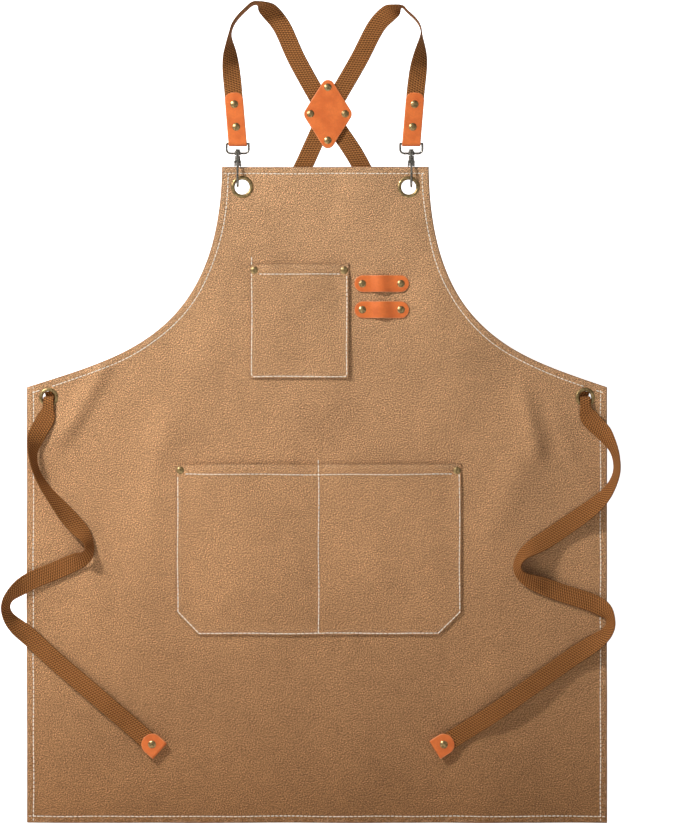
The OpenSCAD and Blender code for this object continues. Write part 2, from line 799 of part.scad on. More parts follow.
// From the tab, over the shoulder loop's crest, through the patch and down to the bib's top edge.
// It lies flat at the tab and at the patch and stands on edge over the crest. out holds how far it
// bulges outwards above the tab, and turned is -1 where it comes off the crest the other way round.
module shoulder_webbing(side, out, crest_in, crest_low, layer, turned) {
    x = clasp_x(side);
    top = panel_h + crest_h;
    mid_x = bib_shift + 3;
    low_z = panel_h - 6;
    layer_y = patch_y + layer * (web_t + patch_gap) / 2;
    start = tab_point(side, 7);
    leave = tab_point(side, tab_h);
    points = [
        [start[0], clasp_y, start[1]],
        [leave[0], clasp_y, leave[1]],
        [x + side * out[0], clasp_y, top - 58],
        [x + side * out[1], clasp_y, top - 28],
        [x - side * crest_in * 0.4, clasp_y, top - 7 - crest_low / 2],
        [x - side * crest_in, clasp_y, top - crest_low],
        [x - side * (crest_in + 25), clasp_y, top - 22],
        [mid_x + side * cross_slope * 62, layer_y, patch_z + 62],
        [mid_x, layer_y, patch_z],
        [mid_x + cross_drift - side * cross_slope * (patch_z - low_z), back_web_y, low_z]];
    curve = spline(points, 7);
    // depth changes only between the crest and the patch, and again just below the patch
    path = [for (i = [0 : len(curve) - 1]) let (p = curve[i])
        [p[0], mix(mix(clasp_y, layer_y, smooth((i - 36) / 10)), back_web_y, smooth((i - 60) / 2.6)), p[2]]];
    ways = [for (i = [0 : len(path) - 1]) let (
        flat_share = i < 34 ? cos(edge_on * smooth((i - 7.4) / 12.6)) : turned * cos(edge_on * smooth((41 - i) / 7)))
        flat_share * flat_across(tangent(path, i)) + [0, sqrt(1 - flat_share * flat_share), 0]];
    level = [for (i = [0 : len(path) - 1]) across(ways[i], tangent(path, i))];
    color(webbing) difference() {
        translate([0, 0, base_z]) ribbon(rested(path, level, web_w), level, [for (p = path) web_w], web_t);
        translate([-half_w, -50, base_z - 1]) cube([skirt_w, 100, web_cut_z + 2.2]);
        for (up = tab_rivet_up) post_hole(tab_point(side, up)[0], tab_point(side, up)[1]);
    }
}

module left_shoulder_webbing() {
    shoulder_webbing(-1, [9, 6.5], crest_in_left, 0, 1, 1);
}

module right_shoulder_webbing() {
    shoulder_webbing(1, [10.4, 10.6], crest_in_right, crest_low_right, -1, -1);
}

// ---------- webbing behind the bib ----------

// Webbing from the bib top down to the waist eyelet on the given side, kept just inside the armhole
module back_strap(side) {
    top_x = bib_shift + 3 + cross_drift + side * cross_slope * (patch_z - panel_h);
    ex = waist_x_of(side);
    inside = armhole(side, 25);
    points = concat(
        [[top_x - side * 6, back_web_y, panel_h + 10],
         [top_x + side * 17, back_web_y, panel_h - 40],
         [top_x + side * 44, back_web_y, panel_h - 115]],
        [for (i = [14, 18, 21]) [inside[i][0], back_web_y, inside[i][1]]],
        [[ex + side * 3, back_web_y, waist_eyelet_z - 4.5]]);
    path = spline(points, 7);
    ways = [for (i = [0 : len(path) - 1]) flat_across(tangent(path, i))];
    translate([0, 0, base_z]) ribbon(path, ways, [for (p = path) web_w], web_t);
}

// The right shoulder strap comes down on the left, and the left one on the right.
module back_webbing(side) {
    color(webbing) intersection() {
        back_strap(side);
        translate([-half_w, -10, base_z + fold_z]) cube([skirt_w, 30, web_cut_z - fold_z]);
    }
}

module eyelet_webbing(side) {
    color(webbing) intersection() {
        back_strap(side);
        translate([-half_w, -10, base_z]) cube([skirt_w, 30, fold_z]);
    }
}

module left_back_webbing() {
    back_webbing(-1);
}

module right_back_webbing() {
    back_webbing(1);
}

module left_eyelet_webbing() {
    eyelet_webbing(-1);
}

module right_eyelet_webbing() {
    eyelet_webbing(1);
}

// ---------- ties ----------

// Folded webbing through the waist eyelet, down to the place where the tie lifts
module tie_neck(side) {
    y_in = back_web_y - web_t / 2 - 0.4;
    points = [
        [0, y_in, 0],
        [0, front_y, -0.2],
        [0, hinge_y + 1.3, -1.6],
        [0, hinge_y, -4.5],
        [0, hinge_y, -hinge_down + 2]];
    path = spline(points, 5);
    ways = [for (p = path) [1, 0, 0]];
    color(webbing) translate([waist_x_of(side), 0, base_z + waist_eyelet_z])
        ribbon(path, ways, [for (p = path) neck_w], neck_t);
}

// Points along each tie, outwards and down from its eyelet
left_turns = [
    [3, -26], [15, -50], [17, -72], [8, -99], [-21, -138],
    [-46, -168], [-47, -186], [-18, -202], [24, -220], [47, -240],
    [45, -262], [18, -288], [-16, -319], [-66, -361]];
right_turns = [
    [5, -25], [24, -46], [35, -70], [34, -96], [14, -125],
    [-38, -163], [-76, -188], [-78, -210], [-38, -229], [12, -246],
    [28, -260], [23, -281], [-18, -310], [-68, -345], [-118, -380]];
left_end = [-130, -tie_drop];
right_end = [-176, -tie_drop + 1];
tie_tip_l = 22;

function tie_points(side, turns, end) =
    [for (p = concat([[0, -hinge_down - 3]], turns, [end]))
        [side * p[0], lay_y, p[1]]];

function tie_path(side, turns, end) = spline(tie_points(side, turns, end), 4);

// The tie lies flat, except that it stands on edge a little below the eyelet and round each bend.
// Each row is the step where it stands most, over how many steps, and how steeply.
left_stands = [[14, 4.5, 3.4], [26, 3, 2.2], [41.5, 3.6, 2.4]];
right_stands = [[14, 5, 3.4], [30, 3.2, 2.6], [45.5, 3.4, 2.2]];
function steepness(i, stands) = [for (s = stands) s[2] * exp(-pow((i - s[0]) / s[1], 2))] * [1, 1, 1];
function tie_ways(path, side) = let (stands = side < 0 ? left_stands : right_stands)
    [for (i = [0 : len(path) - 1]) let (t = tangent(path, i))
        unit(-side * flat_across(t) - [0, steepness(i, stands), 0])];

// How far the tie stands off from where it lies on the cloth: up to the hinge at its start, and up to
// the leather tip's height at its end
function tie_lift(i, n) =
    (hinge_y - lay_y) * (1 - smooth((i - 4) / 5)) + (tip_y - lay_y) * smooth((i - n + 12) / 8);

module tie_webbing(side, turns, end) {
    flat = tie_path(side, turns, end);
    ways = tie_ways(flat, side);
    raised = rested(flat, ways, web_w);
    n = len(flat) - 1;
    path = [for (i = [0 : n]) raised[i] + [0, tie_lift(i, n), 0]];
    widths = [for (i = [0 : n]) mix(neck_w + 1, web_w, smooth(i / 4))];
    tip = tip_place(side, turns, end);
    color(webbing) translate([waist_x_of(side), 0, base_z + waist_eyelet_z]) difference() {
        ribbon(path, ways, widths, web_t);
        translate([tip[0], 0, tip[2]]) rotate([90, 0, 0]) cylinder(h = 30, r = post_r + slip, center = true);
    }
}

// Rivet position in the tip, and the direction the tie runs there
function tip_along(side, turns, end) = let (p = tie_path(side, turns, end)) tangent(p, len(p) - 1);
function tip_place(side, turns, end) =
    tie_path(side, turns, end)[len(tie_path(side, turns, end)) - 1] - tip_along(side, turns, end) * 9;

tip_w = 25;

// Leather folded over the tie's end, with its round flap in front
module tie_tip(side, turns, end) {
    along = tip_along(side, turns, end);
    angle = atan2(along[2], along[0]);
    rivet_at = tip_place(side, turns, end);
    color(leather) translate([waist_x_of(side), 0, base_z + waist_eyelet_z]) difference() {
        translate([rivet_at[0], 0, rivet_at[2]]) rotate([0, -angle, 0]) difference() {
            translate([0, tip_y + tip_half_t, 0]) rotate([90, 0, 0]) linear_extrude(2 * tip_half_t) {
                intersection() {
                    circle(tip_w / 2);
                    translate([-tip_w, -tip_w / 2]) square([tip_w, tip_w]);
                }
                translate([-0.1, -tip_w / 2]) square([12, tip_w]);
            }
            translate([-30, tip_y - tip_slot / 2, -30]) cube([39.3, tip_slot, 60]);
        }
        translate([rivet_at[0], 0, rivet_at[2]]) rotate([90, 0, 0])
            cylinder(h = 30, r = post_r + slip, center = true);
    }
}

module tip_rivet(side, turns, end) {
    p = tip_place(side, turns, end);
    color(brass) rivet(waist_x_of(side) + p[0], waist_eyelet_z + p[2], tip_y - tip_half_t, 2 * tip_half_t);
}

module tip_rivet_cap(side, turns, end) {
    p = tip_place(side, turns, end);
    color(brass) rivet_cap(waist_x_of(side) + p[0], waist_eyelet_z + p[2], tip_y + tip_half_t);
}

module left_tie_neck() {
    tie_neck(-1);
}

module right_tie_neck() {
    tie_neck(1);
}

module left_tie_webbing() {
    tie_webbing(-1, left_turns, left_end);
}

module right_tie_webbing() {
    tie_webbing(1, right_turns, right_end);
}

module left_tie_tip() {
    tie_tip(-1, left_turns, left_end);
}

module right_tie_tip() {
    tie_tip(1, right_turns, right_end);
}

module left_tip_rivet() {
    tip_rivet(-1, left_turns, left_end);
}

module right_tip_rivet() {
    tip_rivet(1, right_turns, right_end);
}

module left_tip_rivet_cap() {
    tip_rivet_cap(-1, left_turns, left_end);
}

module right_tip_rivet_cap() {
    tip_rivet_cap(1, right_turns, right_end);
}

skirt_panel();
bib_panel();
skirt_hem_thread();
bib_hem_thread();
chest_pocket();
chest_pocket_thread();
waist_pocket();
waist_pocket_thread();
bib_eyelets();
bib_eyelet_washers();
waist_eyelets();
waist_eyelet_washers();
chest_pocket_rivets();
chest_pocket_rivet_caps();
waist_pocket_rivets();
waist_pocket_rivet_caps();
upper_tool_loop();
lower_tool_loop();
tool_loop_rivets();
tool_loop_rivet_caps();
cross_patch_front();
cross_patch_back();
cross_patch_rivets();
cross_patch_rivet_caps();
left_strap_tab();
right_strap_tab();
strap_tab_rivets();
strap_tab_rivet_caps();
left_clasp_eye();
left_clasp_hook();
left_clasp_gate();
left_clasp_pin();
left_clasp_spring();
right_clasp_eye();
right_clasp_hook();
right_clasp_gate();
right_clasp_pin();
right_clasp_spring();
left_shoulder_webbing();
right_shoulder_webbing();
left_back_webbing();
right_back_webbing();
left_eyelet_webbing();
right_eyelet_webbing();
left_tie_neck();
right_tie_neck();
left_tie_webbing();
right_tie_webbing();
left_tie_tip();
right_tie_tip();
left_tip_rivet();
right_tip_rivet();
left_tip_rivet_cap();
right_tip_rivet_cap();
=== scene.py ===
import json
import math
import random

import bpy
import numpy as np
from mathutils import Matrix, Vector
from mathutils.geometry import delaunay_2d_cdt


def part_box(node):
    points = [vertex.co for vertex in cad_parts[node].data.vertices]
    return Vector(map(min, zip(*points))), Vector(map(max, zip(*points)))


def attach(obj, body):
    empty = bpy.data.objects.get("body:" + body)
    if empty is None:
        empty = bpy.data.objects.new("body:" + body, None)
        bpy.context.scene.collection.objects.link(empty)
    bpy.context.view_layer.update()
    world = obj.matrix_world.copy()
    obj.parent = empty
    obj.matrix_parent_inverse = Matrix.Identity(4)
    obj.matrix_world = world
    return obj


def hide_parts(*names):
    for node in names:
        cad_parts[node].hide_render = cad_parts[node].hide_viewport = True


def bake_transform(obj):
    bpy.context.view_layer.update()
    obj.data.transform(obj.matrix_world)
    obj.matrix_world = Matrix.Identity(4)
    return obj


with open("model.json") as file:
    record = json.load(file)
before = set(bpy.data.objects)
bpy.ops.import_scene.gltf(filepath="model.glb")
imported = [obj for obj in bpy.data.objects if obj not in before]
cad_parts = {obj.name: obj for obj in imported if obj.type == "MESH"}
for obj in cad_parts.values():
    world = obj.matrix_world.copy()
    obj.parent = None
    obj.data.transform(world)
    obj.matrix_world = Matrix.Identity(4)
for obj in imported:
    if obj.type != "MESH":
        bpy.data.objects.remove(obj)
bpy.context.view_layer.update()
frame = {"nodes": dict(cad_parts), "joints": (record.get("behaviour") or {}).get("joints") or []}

# Lengths below are millimetres in the CAD frame; meshes are written in metres.
MM = 0.001


def cad_box(node):
    low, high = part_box(node)
    return np.array(low) / MM, np.array(high) / MM


def cad_points(node):
    return np.array([v.co for v in frame["nodes"][node].data.vertices], float) / MM


def pair_centres(node):
    """Centres in X and Z of the leftmost and rightmost round fitting of a node, and their radius."""
    low, high = cad_box(node)
    r = (high[2] - low[2]) / 2
    z = (high[2] + low[2]) / 2
    return np.array([low[0] + r, z]), np.array([high[0] - r, z]), r


# ---------- sizes taken from the frame ----------

skirt_low, skirt_high = cad_box("skirt_panel")
_, bib_high = cad_box("bib_panel")
HALF = skirt_high[0]
HEM_Z = skirt_low[2]
FOLD_Z = skirt_high[2]
TOP_Z = bib_high[2]
FRONT = skirt_low[1]
LAYER = -FRONT / 2
top_row = cad_points("bib_panel")
top_row = top_row[top_row[:, 2] > TOP_Z - 0.01]
TOP_LEFT, TOP_RIGHT = top_row[:, 0].min(), top_row[:, 0].max()
MIDDLE = (TOP_LEFT + TOP_RIGHT) / 2
side_rows = cad_points("skirt_panel")
CORNER_Z = side_rows[side_rows[:, 0] > HALF - 0.01][:, 2].max()

bib_eye_l, bib_eye_r, BIB_RIM = pair_centres("bib_eyelets")
waist_eye_l, waist_eye_r, WAIST_RIM = pair_centres("waist_eyelets")
# Width of an eyelet's rim
RIM_W = 4.6
chest_low, chest_high = cad_box("chest_pocket")
pouch_low, pouch_high = cad_box("waist_pocket")
chest_rivet_l, chest_rivet_r, RIVET_R = pair_centres("chest_pocket_rivets")
pouch_rivet_l, pouch_rivet_r, _ = pair_centres("waist_pocket_rivets")
loop_low, loop_high = cad_box("tool_loop_rivets")
patch_low, patch_high = cad_box("cross_patch_front")
patch_back_low, patch_back_high = cad_box("cross_patch_back")
PATCH = (patch_low + patch_high) / 2
LEATHER = patch_high[1] - patch_low[1]
hinges = {j["name"]: j for j in frame["joints"]}

# Seam's distance from the edge, hem's width, and the webbing's width and thickness
SEAM_IN = 8.0
HEM_W = 10.0
WEB_W = 21.5
WEB_T = 1.6


def smooth(t):
    u = np.clip(t, 0.0, 1.0)
    return u * u * (3 - 2 * u)


def mix(a, b, t):
    return a * (1 - t) + b * t


def unit(v):
    v = np.asarray(v, float)
    return v / np.maximum(np.linalg.norm(v, axis=-1, keepdims=True), 1e-9)


# ---------- how the cloth hangs ----------

def ripples(x, z, length, seed, count=7):
    """Gentle random waves of about the given length, near -1 to 1."""
    rng = np.random.RandomState(seed)
    total = np.zeros(np.broadcast(x, z).shape)
    for _ in range(count):
        angle = rng.uniform(0, 2 * math.pi)
        k = 2 * math.pi / (length * rng.uniform(0.75, 1.35))
        total = total + np.sin(k * (x * math.cos(angle) + z * math.sin(angle)) + rng.uniform(0, 2 * math.pi))
    return total / math.sqrt(count)


def crease(x, z, start, end, height, width):
    """A soft ridge between two points of the cloth."""
    s, e = np.array(start, float), np.array(end, float)
    d = e - s
    length = np.linalg.norm(d)
    d = d / length
    along = (x - s[0]) * d[0] + (z - s[1]) * d[1]
    off = (x - s[0]) * -d[1] + (z - s[1]) * d[0]
    past = np.maximum(np.maximum(-along, along - length), 0)
    return height * np.exp(-(off / width) ** 2 - (past / (1.6 * width)) ** 2)


fixed = [(*bib_eye_l, 30), (*bib_eye_r, 30), (*waist_eye_l, 26), (*waist_eye_r, 26),
         (*chest_rivet_l, 20), (*chest_rivet_r, 20), (*pouch_rivet_l, 24), (*pouch_rivet_r, 24)]
for rivet_x in (loop_low[0] + RIVET_R, loop_high[0] - RIVET_R):
    for rivet_z in (loop_low[2] + RIVET_R, loop_high[2] - RIVET_R):
        fixed.append((rivet_x, rivet_z, 22))


def swung_in(x, z, eye, side, degrees):
    """Where points of a tie come when it swings inwards about its waist eyelet."""
    turn = math.radians(degrees)
    dx, dz = x - eye[0], z - eye[1]
    return (eye[0] + dx * math.cos(turn) + side * dz * math.sin(turn),
            eye[1] + dz * math.cos(turn) - side * dx * math.sin(turn))


# Degrees through which a tie swings inwards; the cloth stays flat where its rivet passes
SWINGS = (0, 2, 4, 6, 8)
RIVET_CALM = 28
TIE_EYES = {-1: waist_eye_l, 1: waist_eye_r}
for side, word in ((-1, "left"), (1, "right")):
    rivet = pair_centres(f"{word}_tip_rivet")[0]
    for degrees in SWINGS:
        fixed.append((*swung_in(rivet[0], rivet[1], TIE_EYES[side], side, degrees), RIVET_CALM))


# Start, end, height and half width of each crease
CREASES = [
    (waist_eye_l + [22, -38], waist_eye_l + [60, 24], 7.2, 11),
    (waist_eye_r + [-58, -60], waist_eye_r + [-72, -8], 5.8, 12),
    (waist_eye_r + [-72, -66], waist_eye_r + [-108, -150], 4.5, 20),
    (waist_eye_r + [-20, -60], waist_eye_r + [-34, -20], 2.4, 9),
    ([pouch_low[0] - 16, pouch_high[2] + 30], [pouch_low[0] - 34, pouch_high[2] - 110], 4.0, 20),
    ([pouch_low[0] - 90, pouch_low[2] + 4], [pouch_low[0] - 10, pouch_low[2] - 14], 3.2, 16),
    ([-HALF + 70, HEM_Z + 150], [-HALF + 190, HEM_Z + 120], 3.0, 22),
    ([80, HEM_Z + 100], [250, HEM_Z + 185], 3.4, 26),
    ([-110, FOLD_Z + 30], [-30, FOLD_Z - 26], 3.0, 26),
    ([60, FOLD_Z + 60], [150, FOLD_Z + 10], 2.6, 24)]


def drape(x, z):
    """How far the cloth stands forward of flat. It is flat where a fitting is clamped through it."""
    calm = np.ones(np.broadcast(x, z).shape)
    for fx, fz, reach in fixed:
        calm = calm * (1 - np.exp(-((x - fx) ** 2 + (z - fz) ** 2) / reach ** 2))
    calm = calm * (0.75 + 0.25 * smooth(np.abs(z - FOLD_Z) / 40))
    wave = 1.8 * (1.1 + ripples(x, z * 0.6, 190, 3)) + 0.7 * ripples(x, z, 75, 8)
    for start, end, height, width in CREASES:
        wave = wave + crease(x, z, start, end, height, width)
    return np.maximum(wave, 0) * calm


# ---------- mesh building ----------

def make_object(name, points, faces, uv, attributes=None):
    mesh = bpy.data.meshes.new(name)
    mesh.from_pydata((np.asarray(points) * MM).tolist(), [], faces)
    corner = np.zeros(len(mesh.loops), np.int32)
    mesh.loops.foreach_get("vertex_index", corner)
    layer = mesh.uv_layers.new(name="UVMap")
    layer.data.foreach_set("uv", (np.asarray(uv) * MM)[corner].astype(np.float32).ravel())
    for key, values in (attributes or {}).items():
        attribute = mesh.attributes.new(key, "FLOAT", "POINT")
        attribute.data.foreach_set("value", np.asarray(values, np.float32))
    mesh.polygons.foreach_set("use_smooth", [True] * len(mesh.polygons))
    mesh.update()
    obj = bpy.data.objects.new(name, mesh)
    bpy.context.scene.collection.objects.link(obj)
    return obj


def adopt(obj, nodes, body=None):
    """Makes a piece stand for its CAD nodes and move with a body."""
    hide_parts(*nodes)
    if body:
        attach(obj, body)
    return obj


def run_along(line):
    """Length along a line up to each of its points."""
    return np.concatenate([[0], np.cumsum(np.linalg.norm(np.diff(line, axis=0), axis=1))])


def resample(line, step, closed=False):
    line = np.asarray(line, float)
    if closed:
        line = np.vstack([line, line[:1]])
    run = run_along(line)
    count = max(int(round(run[-1] / step)), 2)
    at = np.linspace(0, run[-1], count + 1)
    out = np.stack([np.interp(at, run, line[:, i]) for i in range(line.shape[1])], 1)
    return out[:-1] if closed else out


def edge_distance(points, loop):
    a, b = loop, np.roll(loop, -1, 0)
    ab = b - a
    size = (ab ** 2).sum(1)
    out = np.empty(len(points))
    for s in range(0, len(points), 1500):
        p = points[s:s + 1500, None]
        t = np.clip(((p - a) * ab).sum(2) / size, 0, 1)
        out[s:s + 1500] = np.sqrt((((p - a) - t[..., None] * ab) ** 2).sum(2).min(1))
    return out


def inside(points, loop):
    x1, z1 = loop[:, 0], loop[:, 1]
    x2, z2 = np.roll(x1, -1), np.roll(z1, -1)
    slope = np.where(z2 == z1, 0, (x2 - x1) / np.where(z2 == z1, 1, z2 - z1))
    out = np.zeros(len(points), bool)
    for s in range(0, len(points), 1500):
        p = points[s:s + 1500, None]
        hit = ((z1 > p[..., 1]) != (z2 > p[..., 1])) & (p[..., 0] < x1 + slope * (p[..., 1] - z1))
        out[s:s + 1500] = hit.sum(1) % 2 == 1
    return out


def sheet(name, loop, rows, cell, surface, holes=(), extra=None):
    """A closed sheet in the X-Z plane: surface(points, edge distance) gives its front and back Y."""
    tangent = unit(np.roll(loop, -1, 0) - np.roll(loop, 1, 0))
    normal = np.stack([-tangent[:, 1], tangent[:, 0]], 1)
    near = np.vstack([loop + d * normal for d in rows])
    wanted = np.repeat(rows, len(loop))
    reach = edge_distance(near, loop)
    near = near[(reach > wanted - 0.04) & inside(near, loop)]
    low, high = loop.min(0), loop.max(0)
    across_x = np.arange(low[0] + cell / 2, high[0], cell)
    up_z = np.arange(low[1] + cell / 2, high[1], cell)
    gx, gz = np.meshgrid(across_x, up_z)
    grid = np.stack([gx.ravel(), gz.ravel()], 1)
    if extra is not None:
        grid = np.vstack([grid, extra])
    grid = grid[inside(grid, loop)]
    grid = grid[edge_distance(grid, loop) > rows[-1] + cell * 0.45]
    free = np.vstack([near, grid])
    rings = []
    for hx, hz, hr in holes:
        gap = np.hypot(free[:, 0] - hx, free[:, 1] - hz)
        free = free[gap > hr + 1.0]
        turn = np.linspace(0, 2 * math.pi, 40, endpoint=False)
        rings.append(np.stack([hx + hr * np.cos(turn), hz + hr * np.sin(turn)], 1))
    points = np.vstack([loop] + rings + [free])
    edges, start = [], 0
    for ring in [loop] + rings:
        edges += [(start + i, start + (i + 1) % len(ring)) for i in range(len(ring))]
        start += len(ring)
    found = delaunay_2d_cdt([Vector(p) for p in points], edges, [], 1, 1e-5)
    flat = np.array([list(v) for v in found[0]])
    tris = np.array(found[2], int)
    centre = flat[tris].mean(1)
    keep = np.ones(len(tris), bool)
    for hx, hz, hr in holes:
        keep &= np.hypot(centre[:, 0] - hx, centre[:, 1] - hz) > hr * 0.995
    tris = tris[keep]
    rim = edge_distance(flat, loop)
    y_front, y_back = surface(flat, rim)
    n = len(flat)
    shared = rim < 1e-3
    back_index = np.where(shared, np.arange(n), n + np.arange(n))
    mid = (y_front + y_back) / 2
    y_front = np.where(shared, mid, y_front)
    faces = [tuple(t) for t in tris.tolist()]
    faces += [tuple(t) for t in back_index[tris][:, ::-1].tolist()]
    count = {}
    for a, b in np.vstack([tris[:, [0, 1]], tris[:, [1, 2]], tris[:, [2, 0]]]).tolist():
        count[(a, b)] = True
    for a, b in count:
        if (b, a) not in count and not (shared[a] and shared[b]):
            faces.append((b, a, int(back_index[a]), int(back_index[b])))
    front = np.stack([flat[:, 0], y_front, flat[:, 1]], 1)
    back = np.stack([flat[:, 0], y_back, flat[:, 1]], 1)
    every = np.vstack([front, back])
    used = np.unique(np.concatenate([np.array(f) for f in faces]))
    renumber = np.full(2 * n, -1)
    renumber[used] = np.arange(len(used))
    faces = [tuple(int(renumber[i]) for i in f) for f in faces]
    uv = np.vstack([flat, flat])[used]
    rims = np.concatenate([rim, rim])[used]
    return make_object(name, every[used], faces, uv, {"rim": rims})


def rounding(d, r):
    """Share of a rounded edge's half thickness at distance d from the edge."""
    u = np.clip(1 - d / r, 0, 1)
    return np.sqrt(1 - u * u)


def spline(points, steps):
    """Smooth curve through every given point."""
    p = np.array(points, float)
    last = len(p) - 1
    out = []
    for i in range(last):
        a, b, c, d = p[max(i - 1, 0)], p[i], p[i + 1], p[min(i + 2, last)]
        for k in range(steps):
            t = k / steps
            out.append(0.5 * (2 * b + (c - a) * t + (2 * a - 5 * b + 4 * c - d) * t * t
                              + (3 * b - a - 3 * c + d) * t ** 3))
    out.append(p[last])
    return np.array(out)


def tangents(path):
    return unit(np.gradient(path, axis=0))


def across(ways, path):
    t = tangents(path)
    return unit(ways - (ways * t).sum(1, keepdims=True) * t)


def flat_across(path):
    t = tangents(path)
    return np.stack([t[:, 2], np.zeros(len(t)), -t[:, 0]], 1)


def ribbon(name, path, ways, widths, thick, edge_r, columns=9):
    """A strip with rounded edges along a path. UV is the length along and the distance across it."""
    path = np.asarray(path, float)
    n = len(path)
    ways = across(np.asarray(ways, float), path)
    ups = np.cross(tangents(path), ways)
    widths = np.broadcast_to(np.asarray(widths, float), n)
    thick = np.broadcast_to(np.asarray(thick, float), n)
    share = np.linspace(-1, 1, columns)
    turn = np.radians([22, 45, 68, 90, 112, 135, 158])
    flat_s = np.concatenate([share, np.ones(7), share[::-1], -np.ones(7)])
    edge_s = np.concatenate([np.zeros(columns), np.sin(turn), np.zeros(columns), -np.sin(turn[::-1])])
    rise = np.concatenate([np.ones(columns), np.cos(turn), -np.ones(columns), -np.cos(turn)])
    half = widths[:, None] / 2
    r = np.minimum(edge_r, half)
    a = flat_s * (half - r) + edge_s * r
    b = rise * thick[:, None] / 2
    points = path[:, None] + ways[:, None] * a[..., None] + ups[:, None] * b[..., None]
    m = len(flat_s)
    run = run_along(path)
    uv = np.stack([np.broadcast_to(run[:, None], a.shape), a], 2)
    rim = np.minimum(half - np.abs(a), np.minimum(run, run[-1] - run)[:, None])
    faces = []
    for i in range(n - 1):
        for k in range(m):
            j = (k + 1) % m
            faces.append((i * m + k, (i + 1) * m + k, (i + 1) * m + j, i * m + j))
    faces.append(tuple(range(m)))
    faces.append(tuple(reversed(range((n - 1) * m, n * m))))
    return make_object(name, points.reshape(-1, 3), faces, uv.reshape(-1, 2), {"rim": rim.reshape(-1)})


def tube_mesh(paths, radius, sides=6):
    """Points, faces and UV of thin round cords; each path is an array of points with a radius share."""
    points, faces, uv = [], [], []
    turn = np.linspace(0, 2 * math.pi, sides, endpoint=False)
    for path, shares in paths:
        t = tangents(path)
        side = unit(np.cross(t, np.array([0.0, 1.0, 0.0])))
        up = np.cross(side, t)
        base = sum(len(p) for p in points)
        around = side[:, None] * np.cos(turn)[None, :, None] + up[:, None] * np.sin(turn)[None, :, None]
        ring = path[:, None] + around * (radius * shares)[:, None, None]
        points.append(ring.reshape(-1, 3))
        run = np.linspace(0, 4, len(path))
        uv.append(np.stack([np.repeat(run, sides), np.tile(turn, len(path))], 1))
        for i in range(len(path) - 1):
            for k in range(sides):
                j = (k + 1) % sides
                faces.append((base + i * sides + k, base + i * sides + j,
                              base + (i + 1) * sides + j, base + (i + 1) * sides + k))
        faces.append(tuple(base + k for k in reversed(range(sides))))
        faces.append(tuple(base + (len(path) - 1) * sides + k for k in range(sides)))
    return np.vstack(points), faces, np.vstack(uv)


STITCH_PITCH = 4.9
STITCH_L = 4.0
STITCH_R = 0.58


def stitch_line(line, height, rng, wander=0.25):
    """Separate stitches along a line on the cloth; height(x, z) is the cloth's front there."""
    line = resample(line, 1.0)
    run = run_along(line)
    out = []
    at = 0.4
    drift = rng.uniform(0, 6)
    while at + STITCH_L < run[-1]:
        length = STITCH_L * rng.uniform(0.9, 1.08)
        shares = np.array([0.0, 0.12, 0.35, 0.65, 0.88, 1.0])
        s = at + shares * length
        x = np.interp(s, run, line[:, 0])
        z = np.interp(s, run, line[:, 1])
        tx, tz = unit([x[-1] - x[0], z[-1] - z[0]])
        side = wander * math.sin(at / 17 + drift) + rng.uniform(-0.08, 0.08)
        skew = rng.uniform(-0.07, 0.07)
        off = side + skew * (shares - 0.5) * length
        x, z = x - tz * off, z + tx * off
        sink = np.array([0.55, 0.05, -0.22, -0.22, 0.05, 0.55])
        y = height(x, z) + sink
        out.append((np.stack([x, y, z], 1), np.array([0.55, 0.95, 1.0, 1.0, 0.95, 0.55])))
        at += STITCH_PITCH * rng.uniform(0.95, 1.05)
    return out


# ---------- panel ----------

def armhole(side, inset, count=90):
    """Armhole edge from the bib's corner to the waist corner, moved inwards by inset."""
    a = np.array([TOP_RIGHT if side > 0 else TOP_LEFT, TOP_Z])
    d = np.array([side * HALF, CORNER_Z])
    run, drop = d[0] - a[0], d[1] - a[1]
    b = a + np.array([run * 0.01, -drop * -0.76])
    c = a + np.array([run * 0.50, -drop * -0.86])
    t = np.linspace(0, 1, count + 1)[:, None]
    p = a * (1 - t) ** 3 + 3 * b * t * (1 - t) ** 2 + 3 * c * t * t * (1 - t) + d * t ** 3
    s = unit(3 * (b - a) * (1 - t) ** 2 + 6 * (c - b) * t * (1 - t) + 3 * (d - c) * t * t)
    return p + inset * side * np.stack([s[:, 1], -s[:, 0]], 1)


def panel_loop():
    right, left = armhole(1, 0), armhole(-1, 0)
    corners = [[-HALF, HEM_Z], [HALF, HEM_Z]]
    parts = [np.array(corners), right[::-1], left]
    sides = []
    ring = np.vstack(parts)
    for i in range(len(ring)):
        a, b = ring[i], ring[(i + 1) % len(ring)]
        if np.linalg.norm(b - a) > 5:
            count = int(np.linalg.norm(b - a) / 2.2)
            sides.append(a + (b - a) * np.linspace(0, 1, count, endpoint=False)[:, None])
        else:
            sides.append(a[None])
    return np.vstack(sides)


LOOP = panel_loop()


def canvas_front(x, z, d):
    """Front face of the canvas at distance d from the panel's edge, edge rounding left out."""
    pucker = ripples(x, z, 11, 21) * 0.20 * np.exp(-((d - SEAM_IN) / 4.5) ** 2)
    roll = -0.22 * smooth(d / 2.5) * (1 - smooth((d - 5.5) / 2))
    groove = 0.42 * np.exp(-((d - SEAM_IN) / 0.95) ** 2)
    step = 0.22 * smooth((d - HEM_W) / 1.2)
    return FRONT - drape(x, z) + pucker + roll + groove + step


def canvas_surface(p, d):
    x, z = p[:, 0], p[:, 1]
    front = canvas_front(x, z, d)
    thick = mix(2 * LAYER, LAYER, smooth((d - HEM_W + 0.4) / 0.8))
    mid = front + thick / 2
    half = thick / 2 * rounding(d, 1.3)
    return mid - half, mid + half


